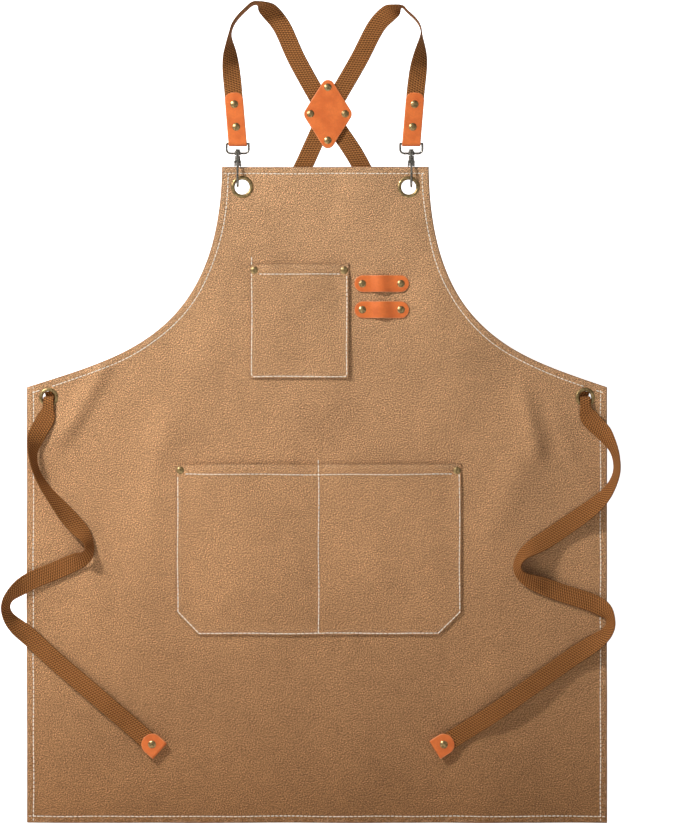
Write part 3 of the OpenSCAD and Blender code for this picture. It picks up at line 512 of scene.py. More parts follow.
def build_canvas():
    rows = [0.12, 0.42, 0.85, 1.3, 2.4, 3.8, 5.2, 6.4, 7.2, 8.0, 8.8, 9.6, 10.4, 11.8, 13.6]
    fx, fz = np.meshgrid(np.arange(-HALF, HALF, 4.6), np.arange(FOLD_Z - 9, FOLD_Z + 9, 1.3))
    extra = np.stack([fx.ravel(), fz.ravel() + 0.013], 1)
    grip = RIM_W - 0.9
    holes = [(*bib_eye_l, BIB_RIM - grip), (*bib_eye_r, BIB_RIM - grip),
             (*waist_eye_l, WAIST_RIM - grip), (*waist_eye_r, WAIST_RIM - grip)]
    obj = sheet("canvas_panel", LOOP, rows, 4.6, canvas_surface, holes, extra)
    return adopt(obj, ["skirt_panel", "bib_panel"])


def seam_lines():
    """Hem seams; each runs on to the panel's edge, so they cross at the corners."""
    s = SEAM_IN
    lines = [[[-HALF + 1.6, HEM_Z + s], [HALF - 1.6, HEM_Z + s]],
             [[TOP_LEFT + 1.6, TOP_Z - s], [TOP_RIGHT - 1.6, TOP_Z - s]]]
    for side in (-1, 1):
        curve = armhole(side, s)
        keep = (side * curve[:, 0] < HALF - 1.4) & (curve[:, 1] < TOP_Z - 1.4)
        lines.append(curve[keep])
        lines.append([[side * (HALF - s), HEM_Z + 1.6], [side * (HALF - s), CORNER_Z + 1.5]])
    return lines


def build_hem_stitches():
    rng = random.Random(11)
    paths = []
    rims = ((bib_eye_l, BIB_RIM), (bib_eye_r, BIB_RIM), (waist_eye_l, WAIST_RIM), (waist_eye_r, WAIST_RIM))
    for line in seam_lines():
        for path, shares in stitch_line(line, lambda x, z: canvas_front(x, z, SEAM_IN) - 0.12, rng):
            centre = path.mean(0)[[0, 2]]
            if all(np.linalg.norm(centre - at) > r + STITCH_L / 2 for at, r in rims):
                paths.append((path, shares))
    points, faces, uv = tube_mesh(paths, STITCH_R)
    obj = make_object("hem_stitches", points, faces, uv)
    return adopt(obj, ["skirt_hem_thread", "bib_hem_thread"])


# ---------- pockets ----------

class Pocket:
    """A patch pocket: flat at its folded, sewn edges, slack between, and a little open at its mouth."""

    def __init__(self, low, high, chamfer, divider, slack, curl, rivets):
        self.x0, self.x1, self.z0, self.z1 = low[0], high[0], low[2], high[2]
        self.chamfer, self.divider, self.slack, self.curl = chamfer, divider, slack, curl
        self.rivets = rivets
        self.seam_in, self.hem_down = 2.6, 12.5

    def loop(self):
        c = self.chamfer
        x0, x1, z0, z1 = self.x0, self.x1, self.z0, self.z1
        if c > 5:
            ring = [[x0, z1], [x0, z0 + c], [x0 + c, z0], [x1 - c, z0], [x1, z0 + c], [x1, z1]]
        else:
            turn = np.radians([0, 22.5, 45, 67.5, 90])
            ring = [[x0, z1]] + [[x0 + c - c * math.cos(a), z0 + c - c * math.sin(a)] for a in turn]
            ring += [[x1 - c + c * math.sin(a), z0 + c - c * math.cos(a)] for a in turn] + [[x1, z1]]
        sides = []
        for i in range(len(ring)):
            a, b = np.array(ring[i], float), np.array(ring[(i + 1) % len(ring)], float)
            count = max(int(np.linalg.norm(b - a) / 2.2), 1)
            sides.append(a + (b - a) * np.linspace(0, 1, count, endpoint=False)[:, None])
        return np.vstack(sides)

    def sewn(self, x, z):
        d = np.minimum(np.minimum(x - self.x0, self.x1 - x), z - self.z0)
        if self.chamfer > 5:
            left = ((x - self.x0) + (z - self.z0) - self.chamfer) / math.sqrt(2)
            right = ((self.x1 - x) + (z - self.z0) - self.chamfer) / math.sqrt(2)
            d = np.minimum(d, np.minimum(left, right))
        return d

    def height(self, x, z):
        """Height of the pocket's front above the panel's face, and the cloth's thickness there."""
        d = self.sewn(x, z)
        mouth = self.z1 - z
        folded = np.maximum(1 - smooth((d - 5) / 12), 1 - smooth((mouth - 11) / 3))
        up = (z - self.z0) / (self.z1 - self.z0)
        puff = self.slack * smooth((d - 5) / 34) * (0.25 + 0.75 * np.clip(up, 0, 1) ** 1.6)
        groove = 0.5 * np.exp(-((d - self.seam_in) / 0.9) ** 2)
        groove = np.maximum(groove, 0.4 * np.exp(-((mouth - self.hem_down) / 0.9) ** 2) * smooth(d / 2))
        if self.divider is not None:
            gap = np.abs(x - self.divider)
            puff = puff * smooth((gap - 1) / 40)
            groove = np.maximum(groove, 0.5 * np.exp(-(gap / 1.0) ** 2))
        lump = 0.16 * ripples(x, z, 13, 5) * np.exp(-((d - self.seam_in) / 4) ** 2)
        lump = lump + 0.12 * ripples(x, z, 12, 6) * np.exp(-((mouth - self.hem_down) / 5) ** 2)
        wave = 0.35 * ripples(x, z, 60, 9) * smooth((d - 6) / 20)
        rise = self.curl * np.exp(-((self.x1 - x) / 3.2) ** 2) * smooth(mouth / 8)
        thick = mix(LAYER, 2 * LAYER - 0.2, folded)
        top = thick + puff + np.maximum(wave, 0) + lump - groove + rise
        for rx, rz in self.rivets:
            free = smooth((np.hypot(x - rx, z - rz) - RIVET_R + 0.3) / 4)
            top, thick = mix(LAYER + 0.2, top, free), mix(LAYER, thick, free)
        return top, thick

    def front(self, x, z):
        return FRONT - drape(x, z) + 0.22 - self.height(x, z)[0]

    def surface(self, p, d):
        x, z = p[:, 0], p[:, 1]
        h, thick = self.height(x, z)
        base = FRONT - drape(x, z) + 0.22
        back_h = np.maximum(h - thick, 0.03)
        mid, half = (h + back_h) / 2, (h - back_h) / 2
        round_ = rounding(d, 1.4)
        return base - mid - half * round_, base - mid + half * round_

    def build(self, name, node, body):
        rows = [0.12, 0.45, 0.9, 1.4, 2.0, 2.6, 3.2, 4.4, 6.2, 8.0, 9.6, 11.4, 13.2]
        return adopt(sheet(name, self.loop(), rows, 4.2, self.surface), [node], body)

    def seam_lines(self, overrun):
        s, c = self.seam_in, self.chamfer
        x0, x1, z0, z1 = self.x0 + s, self.x1 - s, self.z0 + s, self.z1
        top = z1 - self.hem_down
        c = max(c - 0.6 * s, 2.5)
        if self.chamfer > 5:
            ring = [[x0, z1 - 1], [x0, z0 + c], [x0 + c, z0], [x1 - c, z0], [x1, z0 + c], [x1, z1 - 1]]
            lines = [ring]
        else:
            lines = [[[x0, z1 + 8], [x0, z0 + c], [x0 + 0.3 * c, z0 + 0.3 * c], [x0 + c, z0],
                      [x1 - c, z0], [x1 - 0.3 * c, z0 + 0.3 * c], [x1, z0 + c], [x1, z1 - 1]]]
        lines.append([[self.x0 + 1.2, top + 0.4], [(x0 + x1) / 2, top - 0.5], [self.x1 - 1.2, top + 0.2]])
        if self.divider is not None:
            lines.append([[self.divider, z0 - 1], [self.divider, z1 + overrun]])
        return lines

    def stitches(self, name, node, body, overrun, seed):
        rng = random.Random(seed)

        def lay(x, z):
            top = np.minimum(z, self.z1 - 0.3)
            y = self.front(x, top)
            return np.where(z > self.z1, FRONT - drape(x, z), y) - 0.12

        paths = []
        for line in self.seam_lines(overrun):
            for path, shares in stitch_line(line, lay, rng, 0.3):
                centre = path.mean(0)[[0, 2]]
                if all(np.linalg.norm(centre - r) > RIVET_R + 1.2 for r in self.rivets):
                    paths.append((path, shares))
        points, faces, uv = tube_mesh(paths, STITCH_R)
        return adopt(make_object(name, points, faces, uv), [node], body)


# ---------- webbing ----------

BAR_Z = hinges["harness_fold"]["pos_m"][2] / MM
CLASP_Y = hinges["harness_fold"]["pos_m"][1] / MM
# Leather tabs: length, and how far they lean outwards
TAB_L = 61.0
TAB_LEAN = math.radians(4.8)
# Straps: how far they turn on edge, their highest point, and how they run from the patch to the bib
EDGE_ON = math.radians(88)
CREST_Z = TOP_Z + 193
CROSS_SLOPE = 0.57
CROSS_DRIFT = 5.0
BEHIND_Y = 2.2
WORDS = {-1: "left", 1: "right"}
# Points computed per step of a strap's path
FINE = 6


def clasp_x(side):
    low, high = cad_box(f"{WORDS[side]}_clasp_eye")
    return (low[0] + high[0]) / 2


def tab_point(side, up):
    return [clasp_x(side) + side * up * math.sin(TAB_LEAN), CLASP_Y, BAR_Z + up * math.cos(TAB_LEAN)]


def shoulder_path(side, out, crest_in, crest_low, layer, turned):
    """From the tab over the shoulder loop's crest, through the patch and on behind the bib."""
    x = clasp_x(side)
    other = -side
    mid_x, mid_z = PATCH[0], PATCH[2]
    layer_y = (patch_low[1] + patch_back_high[1]) / 2 + layer * (WEB_T + 0.2) / 2
    top_x = mid_x + CROSS_DRIFT + other * CROSS_SLOPE * (mid_z - TOP_Z)
    inner = armhole(other, 25, 24)
    eye = TIE_EYES[other]
    points = [tab_point(side, 7), tab_point(side, TAB_L),
              [x + side * out[0], 0, CREST_Z - 58], [x + side * out[1], 0, CREST_Z - 28],
              [x - side * crest_in * 0.4, 0, CREST_Z - 7 - crest_low / 2],
              [x - side * crest_in, 0, CREST_Z - crest_low],
              [x - side * (crest_in + 25), 0, CREST_Z - 22],
              [mid_x + side * CROSS_SLOPE * 62, 0, mid_z + 62], [mid_x, 0, mid_z],
              [top_x - other * 6, 0, TOP_Z + 10], [top_x + other * 17, 0, TOP_Z - 40],
              [top_x + other * 44, 0, TOP_Z - 115]]
    points += [[inner[i][0], 0, inner[i][1]] for i in (14, 18, 21)]
    points.append([eye[0] + other * 3, 0, eye[1] - 4.5])
    path = spline(points, 7 * FINE)
    i = np.arange(len(path)) / FINE
    path[:, 1] = mix(mix(CLASP_Y, layer_y, smooth((i - 36) / 10)), BEHIND_Y, smooth((i - 61.3) / 2.5))
    before = np.cos(EDGE_ON * smooth((i - 7.4) / 12.6))
    after = turned * np.cos(EDGE_ON * smooth((41 - i) / 7))
    share = np.where(i < 34, before, after)
    ways = share[:, None] * flat_across(path)
    ways[:, 1] += np.sqrt(1 - share ** 2)
    ways = across(ways, path)
    path[:, 1] -= np.abs(ways[:, 1]) * WEB_W / 2
    return path, ways


# Points along each tie, outwards and down from its eyelet
TIE_POINTS = {
    -1: [[0, -13], [3, -26], [15, -50], [17, -72], [8, -99], [-21, -138], [-46, -168], [-47, -186],
         [-18, -202], [24, -220], [47, -240], [45, -262], [18, -288], [-16, -319], [-66, -361], [-130, -418]],
    1: [[0, -13], [5, -25], [24, -46], [35, -70], [34, -96], [14, -125], [-38, -163], [-76, -188],
        [-78, -210], [-38, -229], [12, -246], [28, -260], [23, -281], [-18, -310], [-68, -345],
        [-118, -380], [-176, -417]]}
# Where each tie stands on edge: the step along it, over how many steps, and how steeply
TIE_STANDS = {-1: [[14, 4.5, 3.4], [26, 3, 2.2], [41.5, 3.6, 2.4]],
              1: [[14, 5, 3.4], [30, 3.2, 2.6], [45.5, 3.4, 2.2]]}
LIE_Y = FRONT - 0.9 - WEB_T / 2
# Where a tie lifts from, and the folded webbing in its eyelet
TIE_HINGE_Y = -6.5
NECK_W = 12.6
NECK_T = 2.4
# Leather tip: slack round the webbing, width, length, and how far forward it lies
TIP_SLACK = 0.2
TIP_W = 25.0
TIP_L = 22.5
TIP_HALF = (WEB_T + TIP_SLACK) / 2 + LEATHER
TIP_Y = FRONT - 0.2 - 1.7 - TIP_HALF


def tie_path(side):
    """From behind the waist eyelet, through it and down the tie to its end."""
    eye = TIE_EYES[side]
    neck = spline([[0, 1.0, 0], [0, FRONT, -0.2], [0, TIE_HINGE_Y + 1.3, -1.6], [0, TIE_HINGE_Y, -4.5],
                   [0, TIE_HINGE_Y, -8]], 6)
    fine = 10
    body = spline([[side * p[0], LIE_Y, p[1]] for p in TIE_POINTS[side]], 4 * fine)
    n = (len(body) - 1) / fine
    i = np.arange(len(body)) / fine
    ways = -side * flat_across(body)
    for at, over, steep in TIE_STANDS[side]:
        ways[:, 1] -= steep * np.exp(-((i - at) / over) ** 2)
    ways = unit(ways)
    width = mix(NECK_W + 1, WEB_W, smooth(i / 4))
    body = body.copy()
    body[:, 1] -= np.abs(ways[:, 1]) * WEB_W / 2
    body[:, 1] += (TIE_HINGE_Y - LIE_Y) * (1 - smooth((i - 4) / 5))
    body[:, 1] += (TIP_Y - LIE_Y) * smooth((i - n + 12) / 8)
    path = np.vstack([neck, body])
    ways = np.vstack([np.tile([float(side), 0, 0], (len(neck), 1)), ways])
    widths = np.concatenate([np.full(len(neck), NECK_W), width])
    thick = np.concatenate([np.full(len(neck), NECK_T), mix(NECK_T, WEB_T, smooth(i / 4))])
    path[:, 0] += eye[0]
    path[:, 2] += eye[1]
    return path, ways, widths, thick


def evenly(path, step):
    """The path in even steps, slightly smoothed, and a function that resamples values given along it."""
    run = run_along(path)
    at = np.linspace(0, run[-1], int(run[-1] / step) + 1)

    def take(v):
        v = np.asarray(v, float)
        if v.ndim == 1:
            return np.interp(at, run, v)
        return np.stack([np.interp(at, run, v[:, k]) for k in range(v.shape[1])], 1)

    out = take(path)
    for _ in range(2):
        out[1:-1] = out[1:-1] * 0.5 + (out[:-2] + out[2:]) * 0.25
    return out, take


def densify(path, ways, widths, thick, step):
    out, take = evenly(path, step)
    return out, take(ways), take(widths), take(thick)


# ---------- leather ----------

def diamond_loop(w, h, corner):
    """Diamond with rounded corners about its centre, anticlockwise."""
    centres = [(w / 2 - corner, 0), (0, h / 2 - corner), (-(w / 2 - corner), 0), (0, -(h / 2 - corner))]
    slope = math.atan2(w / 2 - corner, h / 2 - corner)
    out = []
    spans = [(-slope, slope), (slope, math.pi - slope), (math.pi - slope, math.pi + slope),
             (math.pi + slope, 2 * math.pi - slope)]
    for (cx, cz), (a0, a1) in zip(centres, spans):
        for a in np.linspace(a0, a1, 12):
            out.append([cx + corner * math.cos(a), cz + corner * math.sin(a)])
    return resample(out, 1.6, closed=True)


def stadium_loop(cx, cz, w, h, r):
    out = []
    for sx, sz, a0 in ((1, 1, 0), (-1, 1, 90), (-1, -1, 180), (1, -1, 270)):
        for a in np.radians(np.linspace(a0, a0 + 90, 12)):
            out.append([cx + sx * (w / 2 - r) + r * math.cos(a), cz + sz * (h / 2 - r) + r * math.sin(a)])
    return resample(out, 1.4, closed=True)


LEATHER_ROWS = [0.1, 0.3, 0.6, 1.0, 1.5, 2.2, 3.4]


def build_patch(name, node, low, high):
    loop = diamond_loop(high[0] - low[0], high[2] - low[2], 8) + [PATCH[0], PATCH[2]]
    y0, y1 = low[1], high[1]

    def surface(p, d):
        swell = 0.25 * smooth(d / 6) + 0.06 * ripples(p[:, 0], p[:, 1], 16, 31)
        half = (y1 - y0) / 2 * (0.45 + 0.55 * rounding(d, 1.0)) * np.where(d < 1e-3, 0, 1)
        outward = -1 if node.endswith("front") else 1
        mid = (y0 + y1) / 2 + outward * swell
        return mid - half, mid + half

    return adopt(sheet(name, loop, LEATHER_ROWS, 3.6, surface), [node], "harness")


def build_tool_loop(name, node):
    low, high = cad_box(node)
    cx, cz = (low[0] + high[0]) / 2, (low[2] + high[2]) / 2
    w, h = high[0] - low[0], high[2] - low[2]
    flat_end = 17

    def surface(p, d):
        half = w / 2 - flat_end
        x = np.clip((p[:, 0] - cx) / half, -1, 1)
        bow = 3.4 * np.cos(math.pi / 2 * x) ** 2
        y1 = FRONT - bow - 0.02
        half_t = LEATHER / 2 * (0.4 + 0.6 * rounding(d, 1.0)) * np.where(d < 1e-3, 0, 1)
        mid = y1 - LEATHER / 2 - 0.15 * smooth(d / 5)
        return mid - half_t, mid + half_t

    outline = stadium_loop(cx, cz, w, h, h / 2 - 0.1)
    return adopt(sheet(name, outline, LEATHER_ROWS, 3.4, surface), [node], "bib")


def end_width(run, total, width, r):
    """Width of a strip whose two ends are rounded with radius r."""
    near = np.minimum(run, total - run)
    cut = r - np.sqrt(np.maximum(r * r - np.maximum(r - near, 0) ** 2, 0))
    return np.maximum(width - 2 * cut, 0.6)


def folded_leather(name, node, body, origin, along, fold_axis, gap, width, length, wrap_r, r):
    """Leather folded in two: front layer down to the fold, round it, and back up behind."""
    side_y = gap / 2 + LEATHER / 2
    turn = np.radians(np.linspace(0, 180, 17))
    wrap = wrap_r + LEATHER / 2
    up = np.linspace(length, 0.3, 30)
    front = np.stack([up, -mix(wrap, side_y, smooth((up - wrap * 0.2) / (3.2 + wrap)))], 1)
    bend = np.stack([-wrap * np.sin(turn), -wrap * np.cos(turn)], 1)
    local = np.vstack([front, bend, front[::-1] * [1, -1]])
    path = origin + local[:, :1] * along + local[:, 1:] * np.array([[0.0, 1.0, 0.0]])
    path, _ = evenly(path, 0.8)
    run = run_along(path)
    widths = end_width(run, run[-1], width, r)
    near = np.minimum(run, run[-1] - run)
    thick = LEATHER * (0.35 + 0.65 * rounding(near, 1.0))
    obj = ribbon(name, path, np.tile(fold_axis, (len(path), 1)), widths, thick, 0.7, columns=13)
    return adopt(obj, [node], body)


# ---------- materials ----------

class Shader:
    """A Principled material with short calls for its texture nodes."""

    def __init__(self, name):
        self.material = bpy.data.materials.new(name)
        self.material.use_nodes = True
        self.tree = self.material.node_tree
        self.tree.nodes.clear()
        self.out = self.tree.nodes.new("ShaderNodeOutputMaterial")
        self.bsdf = self.tree.nodes.new("ShaderNodeBsdfPrincipled")
        self.tree.links.new(self.bsdf.outputs[0], self.out.inputs[0])

    def feed(self, socket, value):
        if isinstance(value, bpy.types.NodeSocket):
            self.tree.links.new(value, socket)
        else:
            socket.default_value = value

    def node(self, kind, inputs=None, **settings):
        n = self.tree.nodes.new("ShaderNode" + kind)
        for key, value in settings.items():
            setattr(n, key, value)
        for key, value in (inputs or {}).items():
            self.feed(n.inputs[key], value)
        return n

    def math(self, operation, a, b=0.0, c=0.0):
        return self.node("Math", {0: a, 1: b, 2: c}, operation=operation).outputs[0]

    def remap(self, value, low, high, to_low, to_high, kind="SMOOTHSTEP"):
        return self.node("MapRange", {0: value, 1: low, 2: high, 3: to_low, 4: to_high},
                         interpolation_type=kind).outputs[0]

    def mix(self, factor, a, b, how="MIX"):
        n = self.node("Mix", None, data_type="RGBA", blend_type=how)
        self.feed(n.inputs[0], factor)
        self.feed(n.inputs[6], a)
        self.feed(n.inputs[7], b)
        return n.outputs[2]

    def grain(self, vector, scale, detail=2.0, rough=0.55):
        return self.node("TexNoise", {"Vector": vector, "Scale": scale, "Detail": detail, "Roughness": rough}
                         ).outputs["Fac"]

    def uv(self):
        return self.node("UVMap", None, uv_map="UVMap").outputs[0]

    def place(self):
        return self.node("TexCoord").outputs["Object"]

    def attribute(self, name):
        return self.node("Attribute", None, attribute_name=name).outputs["Fac"]

    def split(self, vector):
        n = self.node("SeparateXYZ", {0: vector})
        return n.outputs[0], n.outputs[1], n.outputs[2]

    def stretch(self, vector, scale):
        return self.node("VectorMath", {0: vector, 1: scale}, operation="MULTIPLY").outputs[0]

    def bump(self, height, strength, distance):
        n = self.node("Bump", {"Strength": strength, "Distance": distance, "Height": height})
        self.feed(self.bsdf.inputs["Normal"], n.outputs[0])

    def set(self, **inputs):
        for key, value in inputs.items():
            self.feed(self.bsdf.inputs[key.replace("_", " ")], value)


# Canvas colour at the hem, the waist and the top. The darker hem colour is partly the cloth's deeper hue and
# partly painted shade for the light falling off towards the bottom.
CANVAS_TOP = (0.460, 0.260, 0.130, 1)
CANVAS_MIDDLE = (0.432, 0.229, 0.107, 1)
CANVAS_LOW = (0.270, 0.130, 0.052, 1)


def canvas_material():
    s = Shader("washed_canvas")
    uv = s.uv()
    x, z, _ = s.split(uv)
    waist = mix(HEM_Z, TOP_Z, 0.42) * MM
    # Painted shade: the colour darkens from the top down to the hem in place of the light's fall-off,
    # together with the cloth's deeper hue lower down.
    base = s.mix(s.remap(z, HEM_Z * MM, waist, 0.0, 1.0, "LINEAR"), CANVAS_LOW, CANVAS_MIDDLE)
    base = s.mix(s.remap(z, waist, TOP_Z * MM, 0.0, 1.0, "LINEAR"), base, CANVAS_TOP)
    # Painted light and shade: the canvas is lighter on the left, towards the key light, and darker to the
    # right.
    lean = s.remap(x, -HALF * MM, HALF * MM, 1.06, 0.95, "LINEAR")
    cloud = s.remap(s.grain(uv, 9.0, 3.0), 0.3, 0.7, 0.93, 1.07, "LINEAR")
    blotch = s.remap(s.grain(uv, 70.0, 3.0), 0.3, 0.7, 0.94, 1.06, "LINEAR")
    speck = s.remap(s.grain(uv, 980.0, 1.0, 0.8), 0.38, 0.62, 0.30, 1.72, "LINEAR")
    slant = s.node("VectorRotate", {"Vector": uv, "Angle": 0.96}, rotation_type="Z_AXIS").outputs[0]
    fibres = s.grain(s.stretch(slant, (0.55, 1.3, 1.0)), 1150.0, 1.0)
    fleck = s.remap(fibres, 0.40, 0.62, 0.42, 1.60, "LINEAR")
    slub = s.remap(s.grain(s.stretch(uv, (90.0, 900.0, 1.0)), 1.0, 2.0), 0.35, 0.7, 0.95, 1.06, "LINEAR")
    tone = s.math("MULTIPLY", s.math("MULTIPLY", cloud, blotch), s.math("MULTIPLY", speck, fleck))
    tone = s.math("MULTIPLY", s.math("MULTIPLY", tone, slub), lean)
    rim = s.attribute("rim")
    worn = s.remap(s.grain(uv, 120.0, 2.0), 0.42, 0.62, 0.0, 1.0)
    rope = s.math("MULTIPLY", s.remap(rim, 3.0, 9.5, 1.0, 0.0), worn)
    colour = s.mix(s.math("MULTIPLY", rope, 0.16), base, (0.62, 0.43, 0.27, 1))
    # Painted shade along the canvas edges, where the rolled hem turns away from the light.
    colour = s.mix(s.remap(rim, 0.2, 2.2, 0.55, 0.0), colour, (0.20, 0.095, 0.042, 1))
    grey = s.node("CombineColor", {0: tone, 1: tone, 2: tone}).outputs[0]
    colour = s.mix(1.0, colour, grey, "MULTIPLY")
    pitch = 2 * math.pi / (0.95 * MM)
    warp = s.math("SINE", s.math("MULTIPLY", x, pitch))
    weft = s.math("SINE", s.math("MULTIPLY", z, pitch * 0.93))
    weave = s.math("MULTIPLY", warp, weft)
    relief = s.math("ADD", s.math("MULTIPLY", weave, 0.18), s.grain(uv, 900.0, 2.0, 0.7))
    s.set(Base_Color=colour, Roughness=0.92, Sheen_Weight=0.12, Sheen_Roughness=0.5, Specular_IOR_Level=0.15)
    s.bump(relief, 0.3, 0.0006)
    return s.material


def thread_material():
    s = Shader("seam_thread")
    uv = s.uv()
    u, v, _ = s.split(uv)
    twist = s.math("SINE", s.math("ADD", s.math("MULTIPLY", u, 9000.0), s.math("MULTIPLY", v, 1000.0)))
    colour = s.mix(s.remap(twist, -1.0, 1.0, 0.0, 1.0), (0.80, 0.71, 0.57, 1), (0.98, 0.94, 0.84, 1))
    s.set(Base_Color=colour, Roughness=0.6, Sheen_Weight=0.1)
    s.bump(twist, 0.3, 0.0002)
    return s.material


def webbing_material():
    s = Shader("herringbone_webbing")
    uv = s.uv()
    u, v, _ = s.split(uv)
    column = s.math("DIVIDE", s.math("ADD", v, 0.05), 0.0031)
    parity = s.math("MODULO", s.math("FLOOR", column), 2.0)
    tilt = s.math("MULTIPLY", s.math("FRACT", column), 1.1)
    turn = s.math("ADD", tilt, s.math("MULTIPLY", parity, math.pi))
    slant = s.math("ADD", s.math("MULTIPLY", u, 2 * math.pi / 0.0029), turn)
    rib = s.math("SINE", slant)
    yarn = s.math("SINE", s.math("MULTIPLY", column, 2 * math.pi))
    fine = s.grain(s.stretch(uv, (900.0, 1500.0, 1.0)), 1.0, 2.0)
    weave = s.math("ADD", s.math("MULTIPLY", rib, 0.62), s.math("MULTIPLY", yarn, 0.30))
    tone = s.remap(weave, -0.8, 0.8, 0.0, 1.0)
    colour = s.mix(tone, (0.070, 0.023, 0.006, 1), (0.500, 0.200, 0.058, 1))
    dimmed = s.mix(1.0, colour, (0.7, 0.7, 0.7, 1), "MULTIPLY")
    colour = s.mix(s.remap(fine, 0.3, 0.7, 0.0, 1.0), dimmed, colour)
    cloud = s.remap(s.grain(uv, 45.0, 3.0), 0.3, 0.7, 0.0, 0.25)
    colour = s.mix(cloud, colour, (0.28, 0.108, 0.032, 1))
    rim = s.attribute("rim")
    colour = s.mix(s.remap(rim, 0.2, 1.4, 0.45, 0.0), colour, (0.11, 0.042, 0.013, 1))
    relief = s.math("ADD", s.math("MULTIPLY", rib, 0.6), s.math("MULTIPLY", yarn, 0.4))
    s.set(Base_Color=colour, Roughness=0.85, Specular_IOR_Level=0.12)
    s.bump(s.math("ADD", relief, s.math("MULTIPLY", fine, 0.5)), 0.7, 0.0005)
    return s.material


def leather_material():
    s = Shader("tan_leather")
    uv = s.uv()
    pebble = s.node("TexVoronoi", {"Vector": uv, "Scale": 620.0}, feature="SMOOTH_F1").outputs["Distance"]
    pore = s.grain(uv, 900.0, 3.0, 0.6)
    crinkle = s.grain(uv, 180.0, 4.0, 0.6)
    cloud = s.remap(s.grain(uv, 60.0, 3.0), 0.3, 0.7, 0.0, 1.0)
    colour = s.mix(cloud, (0.60, 0.125, 0.023, 1), (0.73, 0.172, 0.034, 1))
    colour = s.mix(s.remap(pebble, 0.2, 0.8, 0.0, 0.30), colour, (0.50, 0.12, 0.03, 1))
    rim = s.attribute("rim")
    # Paler leather edges: the cut edge's lighter colour together with a painted highlight along the rounded
    # rim.
    colour = s.mix(s.remap(rim, 0.3, 1.1, 0.40, 0.0), colour, (0.80, 0.36, 0.16, 1))
    skin = s.math("ADD", s.math("MULTIPLY", pore, 0.5), crinkle)
    relief = s.math("ADD", s.math("MULTIPLY", pebble, 0.5), skin)
    s.set(Base_Color=colour, Roughness=s.remap(crinkle, 0.3, 0.7, 0.42, 0.62), Specular_IOR_Level=0.32)
    s.bump(relief, 0.35, 0.0004)
    return s.material


def metal_material(name, bright, dark, rough, mottle):
    s = Shader(name)
    place = s.place()
    stain = s.grain(place, 420.0, 4.0, 0.65)
    fine = s.grain(place, 1800.0, 2.0)
    colour = s.mix(s.remap(stain, 0.35, 0.66, 0.0, mottle), bright, dark)
    s.set(Base_Color=colour, Metallic=1.0, Roughness=s.remap(stain, 0.3, 0.7, rough, rough + 0.22))
    s.bump(fine, 0.12, 0.0002)
    return s.material


def dress(obj, material):
    obj.data.materials.clear()
    obj.data.materials.append(material)


canvas_look = canvas_material()
thread_look = thread_material()
webbing_look = webbing_material()
leather_look = leather_material()
brass_look = metal_material("antique_brass", (0.46, 0.33, 0.15, 1), (0.12, 0.075, 0.032, 1), 0.34, 0.85)
steel_look = metal_material("nickel_plate", (0.40, 0.37, 0.32, 1), (0.05, 0.044, 0.035, 1), 0.24, 1.0)

for node, obj in frame["nodes"].items():
    if obj.type != "MESH":
        continue
    if "clasp" in node:
        dress(obj, steel_look)
    elif "webbing" in node or "neck" in node:
        dress(obj, webbing_look)
    elif "thread" in node:
        dress(obj, thread_look)
    elif "rivet" in node or "eyelet" in node or "washer" in node:
        dress(obj, brass_look)

# ---------- assembly ----------

canvas = build_canvas()
dress(canvas, canvas_look)
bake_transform(canvas)

hem = build_hem_stitches()
dress(hem, thread_look)
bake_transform(hem)

chest = Pocket(chest_low, chest_high, 3.5, None, 1.6, 1.3, [chest_rivet_l, chest_rivet_r])
dress(chest.build("chest_pocket_cloth", "chest_pocket", "bib"), canvas_look)
dress(chest.stitches("chest_pocket_stitches", "chest_pocket_thread", "bib", 0, 5), thread_look)
pouch_floor = cad_points("waist_pocket")
pouch_floor = pouch_floor[pouch_floor[:, 2] < pouch_low[2] + 0.01]
pouch_chamfer = pouch_floor[:, 0].min() - pouch_low[0]
pouch = Pocket(pouch_low, pouch_high, pouch_chamfer, (pouch_low[0] + pouch_high[0]) / 2, 2.4, 0.3,
               [pouch_rivet_l, pouch_rivet_r])
dress(pouch.build("waist_pocket_cloth", "waist_pocket", "skirt"), canvas_look)
dress(pouch.stitches("waist_pocket_stitches", "waist_pocket_thread", "skirt", 4.5, 6), thread_look)

for node in ("upper_tool_loop", "lower_tool_loop"):
    dress(build_tool_loop(node + "_leather", node), leather_look)
dress(build_patch("patch_front_leather", "cross_patch_front", patch_low, patch_high), leather_look)
dress(build_patch("patch_back_leather", "cross_patch_back", patch_back_low, patch_back_high), leather_look)

# Height behind the bib where a strap's upper piece hands over to its lower one
SPLIT_Z = 650.0
# Outward points, crest's inward and downward shifts, layer at the patch and turning sense of each strap
CRESTS = {-1: ([9, 6.5], 25, 0, 1, 1), 1: ([10.4, 10.6], 14, 4, -1, -1)}
for side, word, other_word in ((-1, "left", "right"), (1, "right", "left")):
    path, ways = shoulder_path(side, *CRESTS[side])
    behind_bib = np.arange(len(path)) > 60 * FINE
    cut = int(np.argmax(behind_bib & (path[:, 2] < SPLIT_Z)))
    upper = (path[:cut + 1], ways[:cut + 1])
    lower = (path[cut:], ways[cut:])
    full = np.full(len(path), WEB_W)
    skin = np.full(len(path), WEB_T)
    p, w, width, thick = densify(*upper, full[:cut + 1], skin[:cut + 1], 2.0)
    strap = ribbon(f"{word}_strap", p, w, width, thick, 0.9)
    adopt(strap, [f"{word}_shoulder_webbing", f"{other_word}_back_webbing"])
    dress(strap, webbing_look)
    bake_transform(strap)
    p, w, width, thick = densify(*lower, full[cut:], skin[cut:], 1.6)
    tail = ribbon(f"{other_word}_back_strap", p, w, width, thick, 0.9)
    adopt(tail, [f"{other_word}_eyelet_webbing"])
    dress(tail, webbing_look)
    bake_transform(tail)

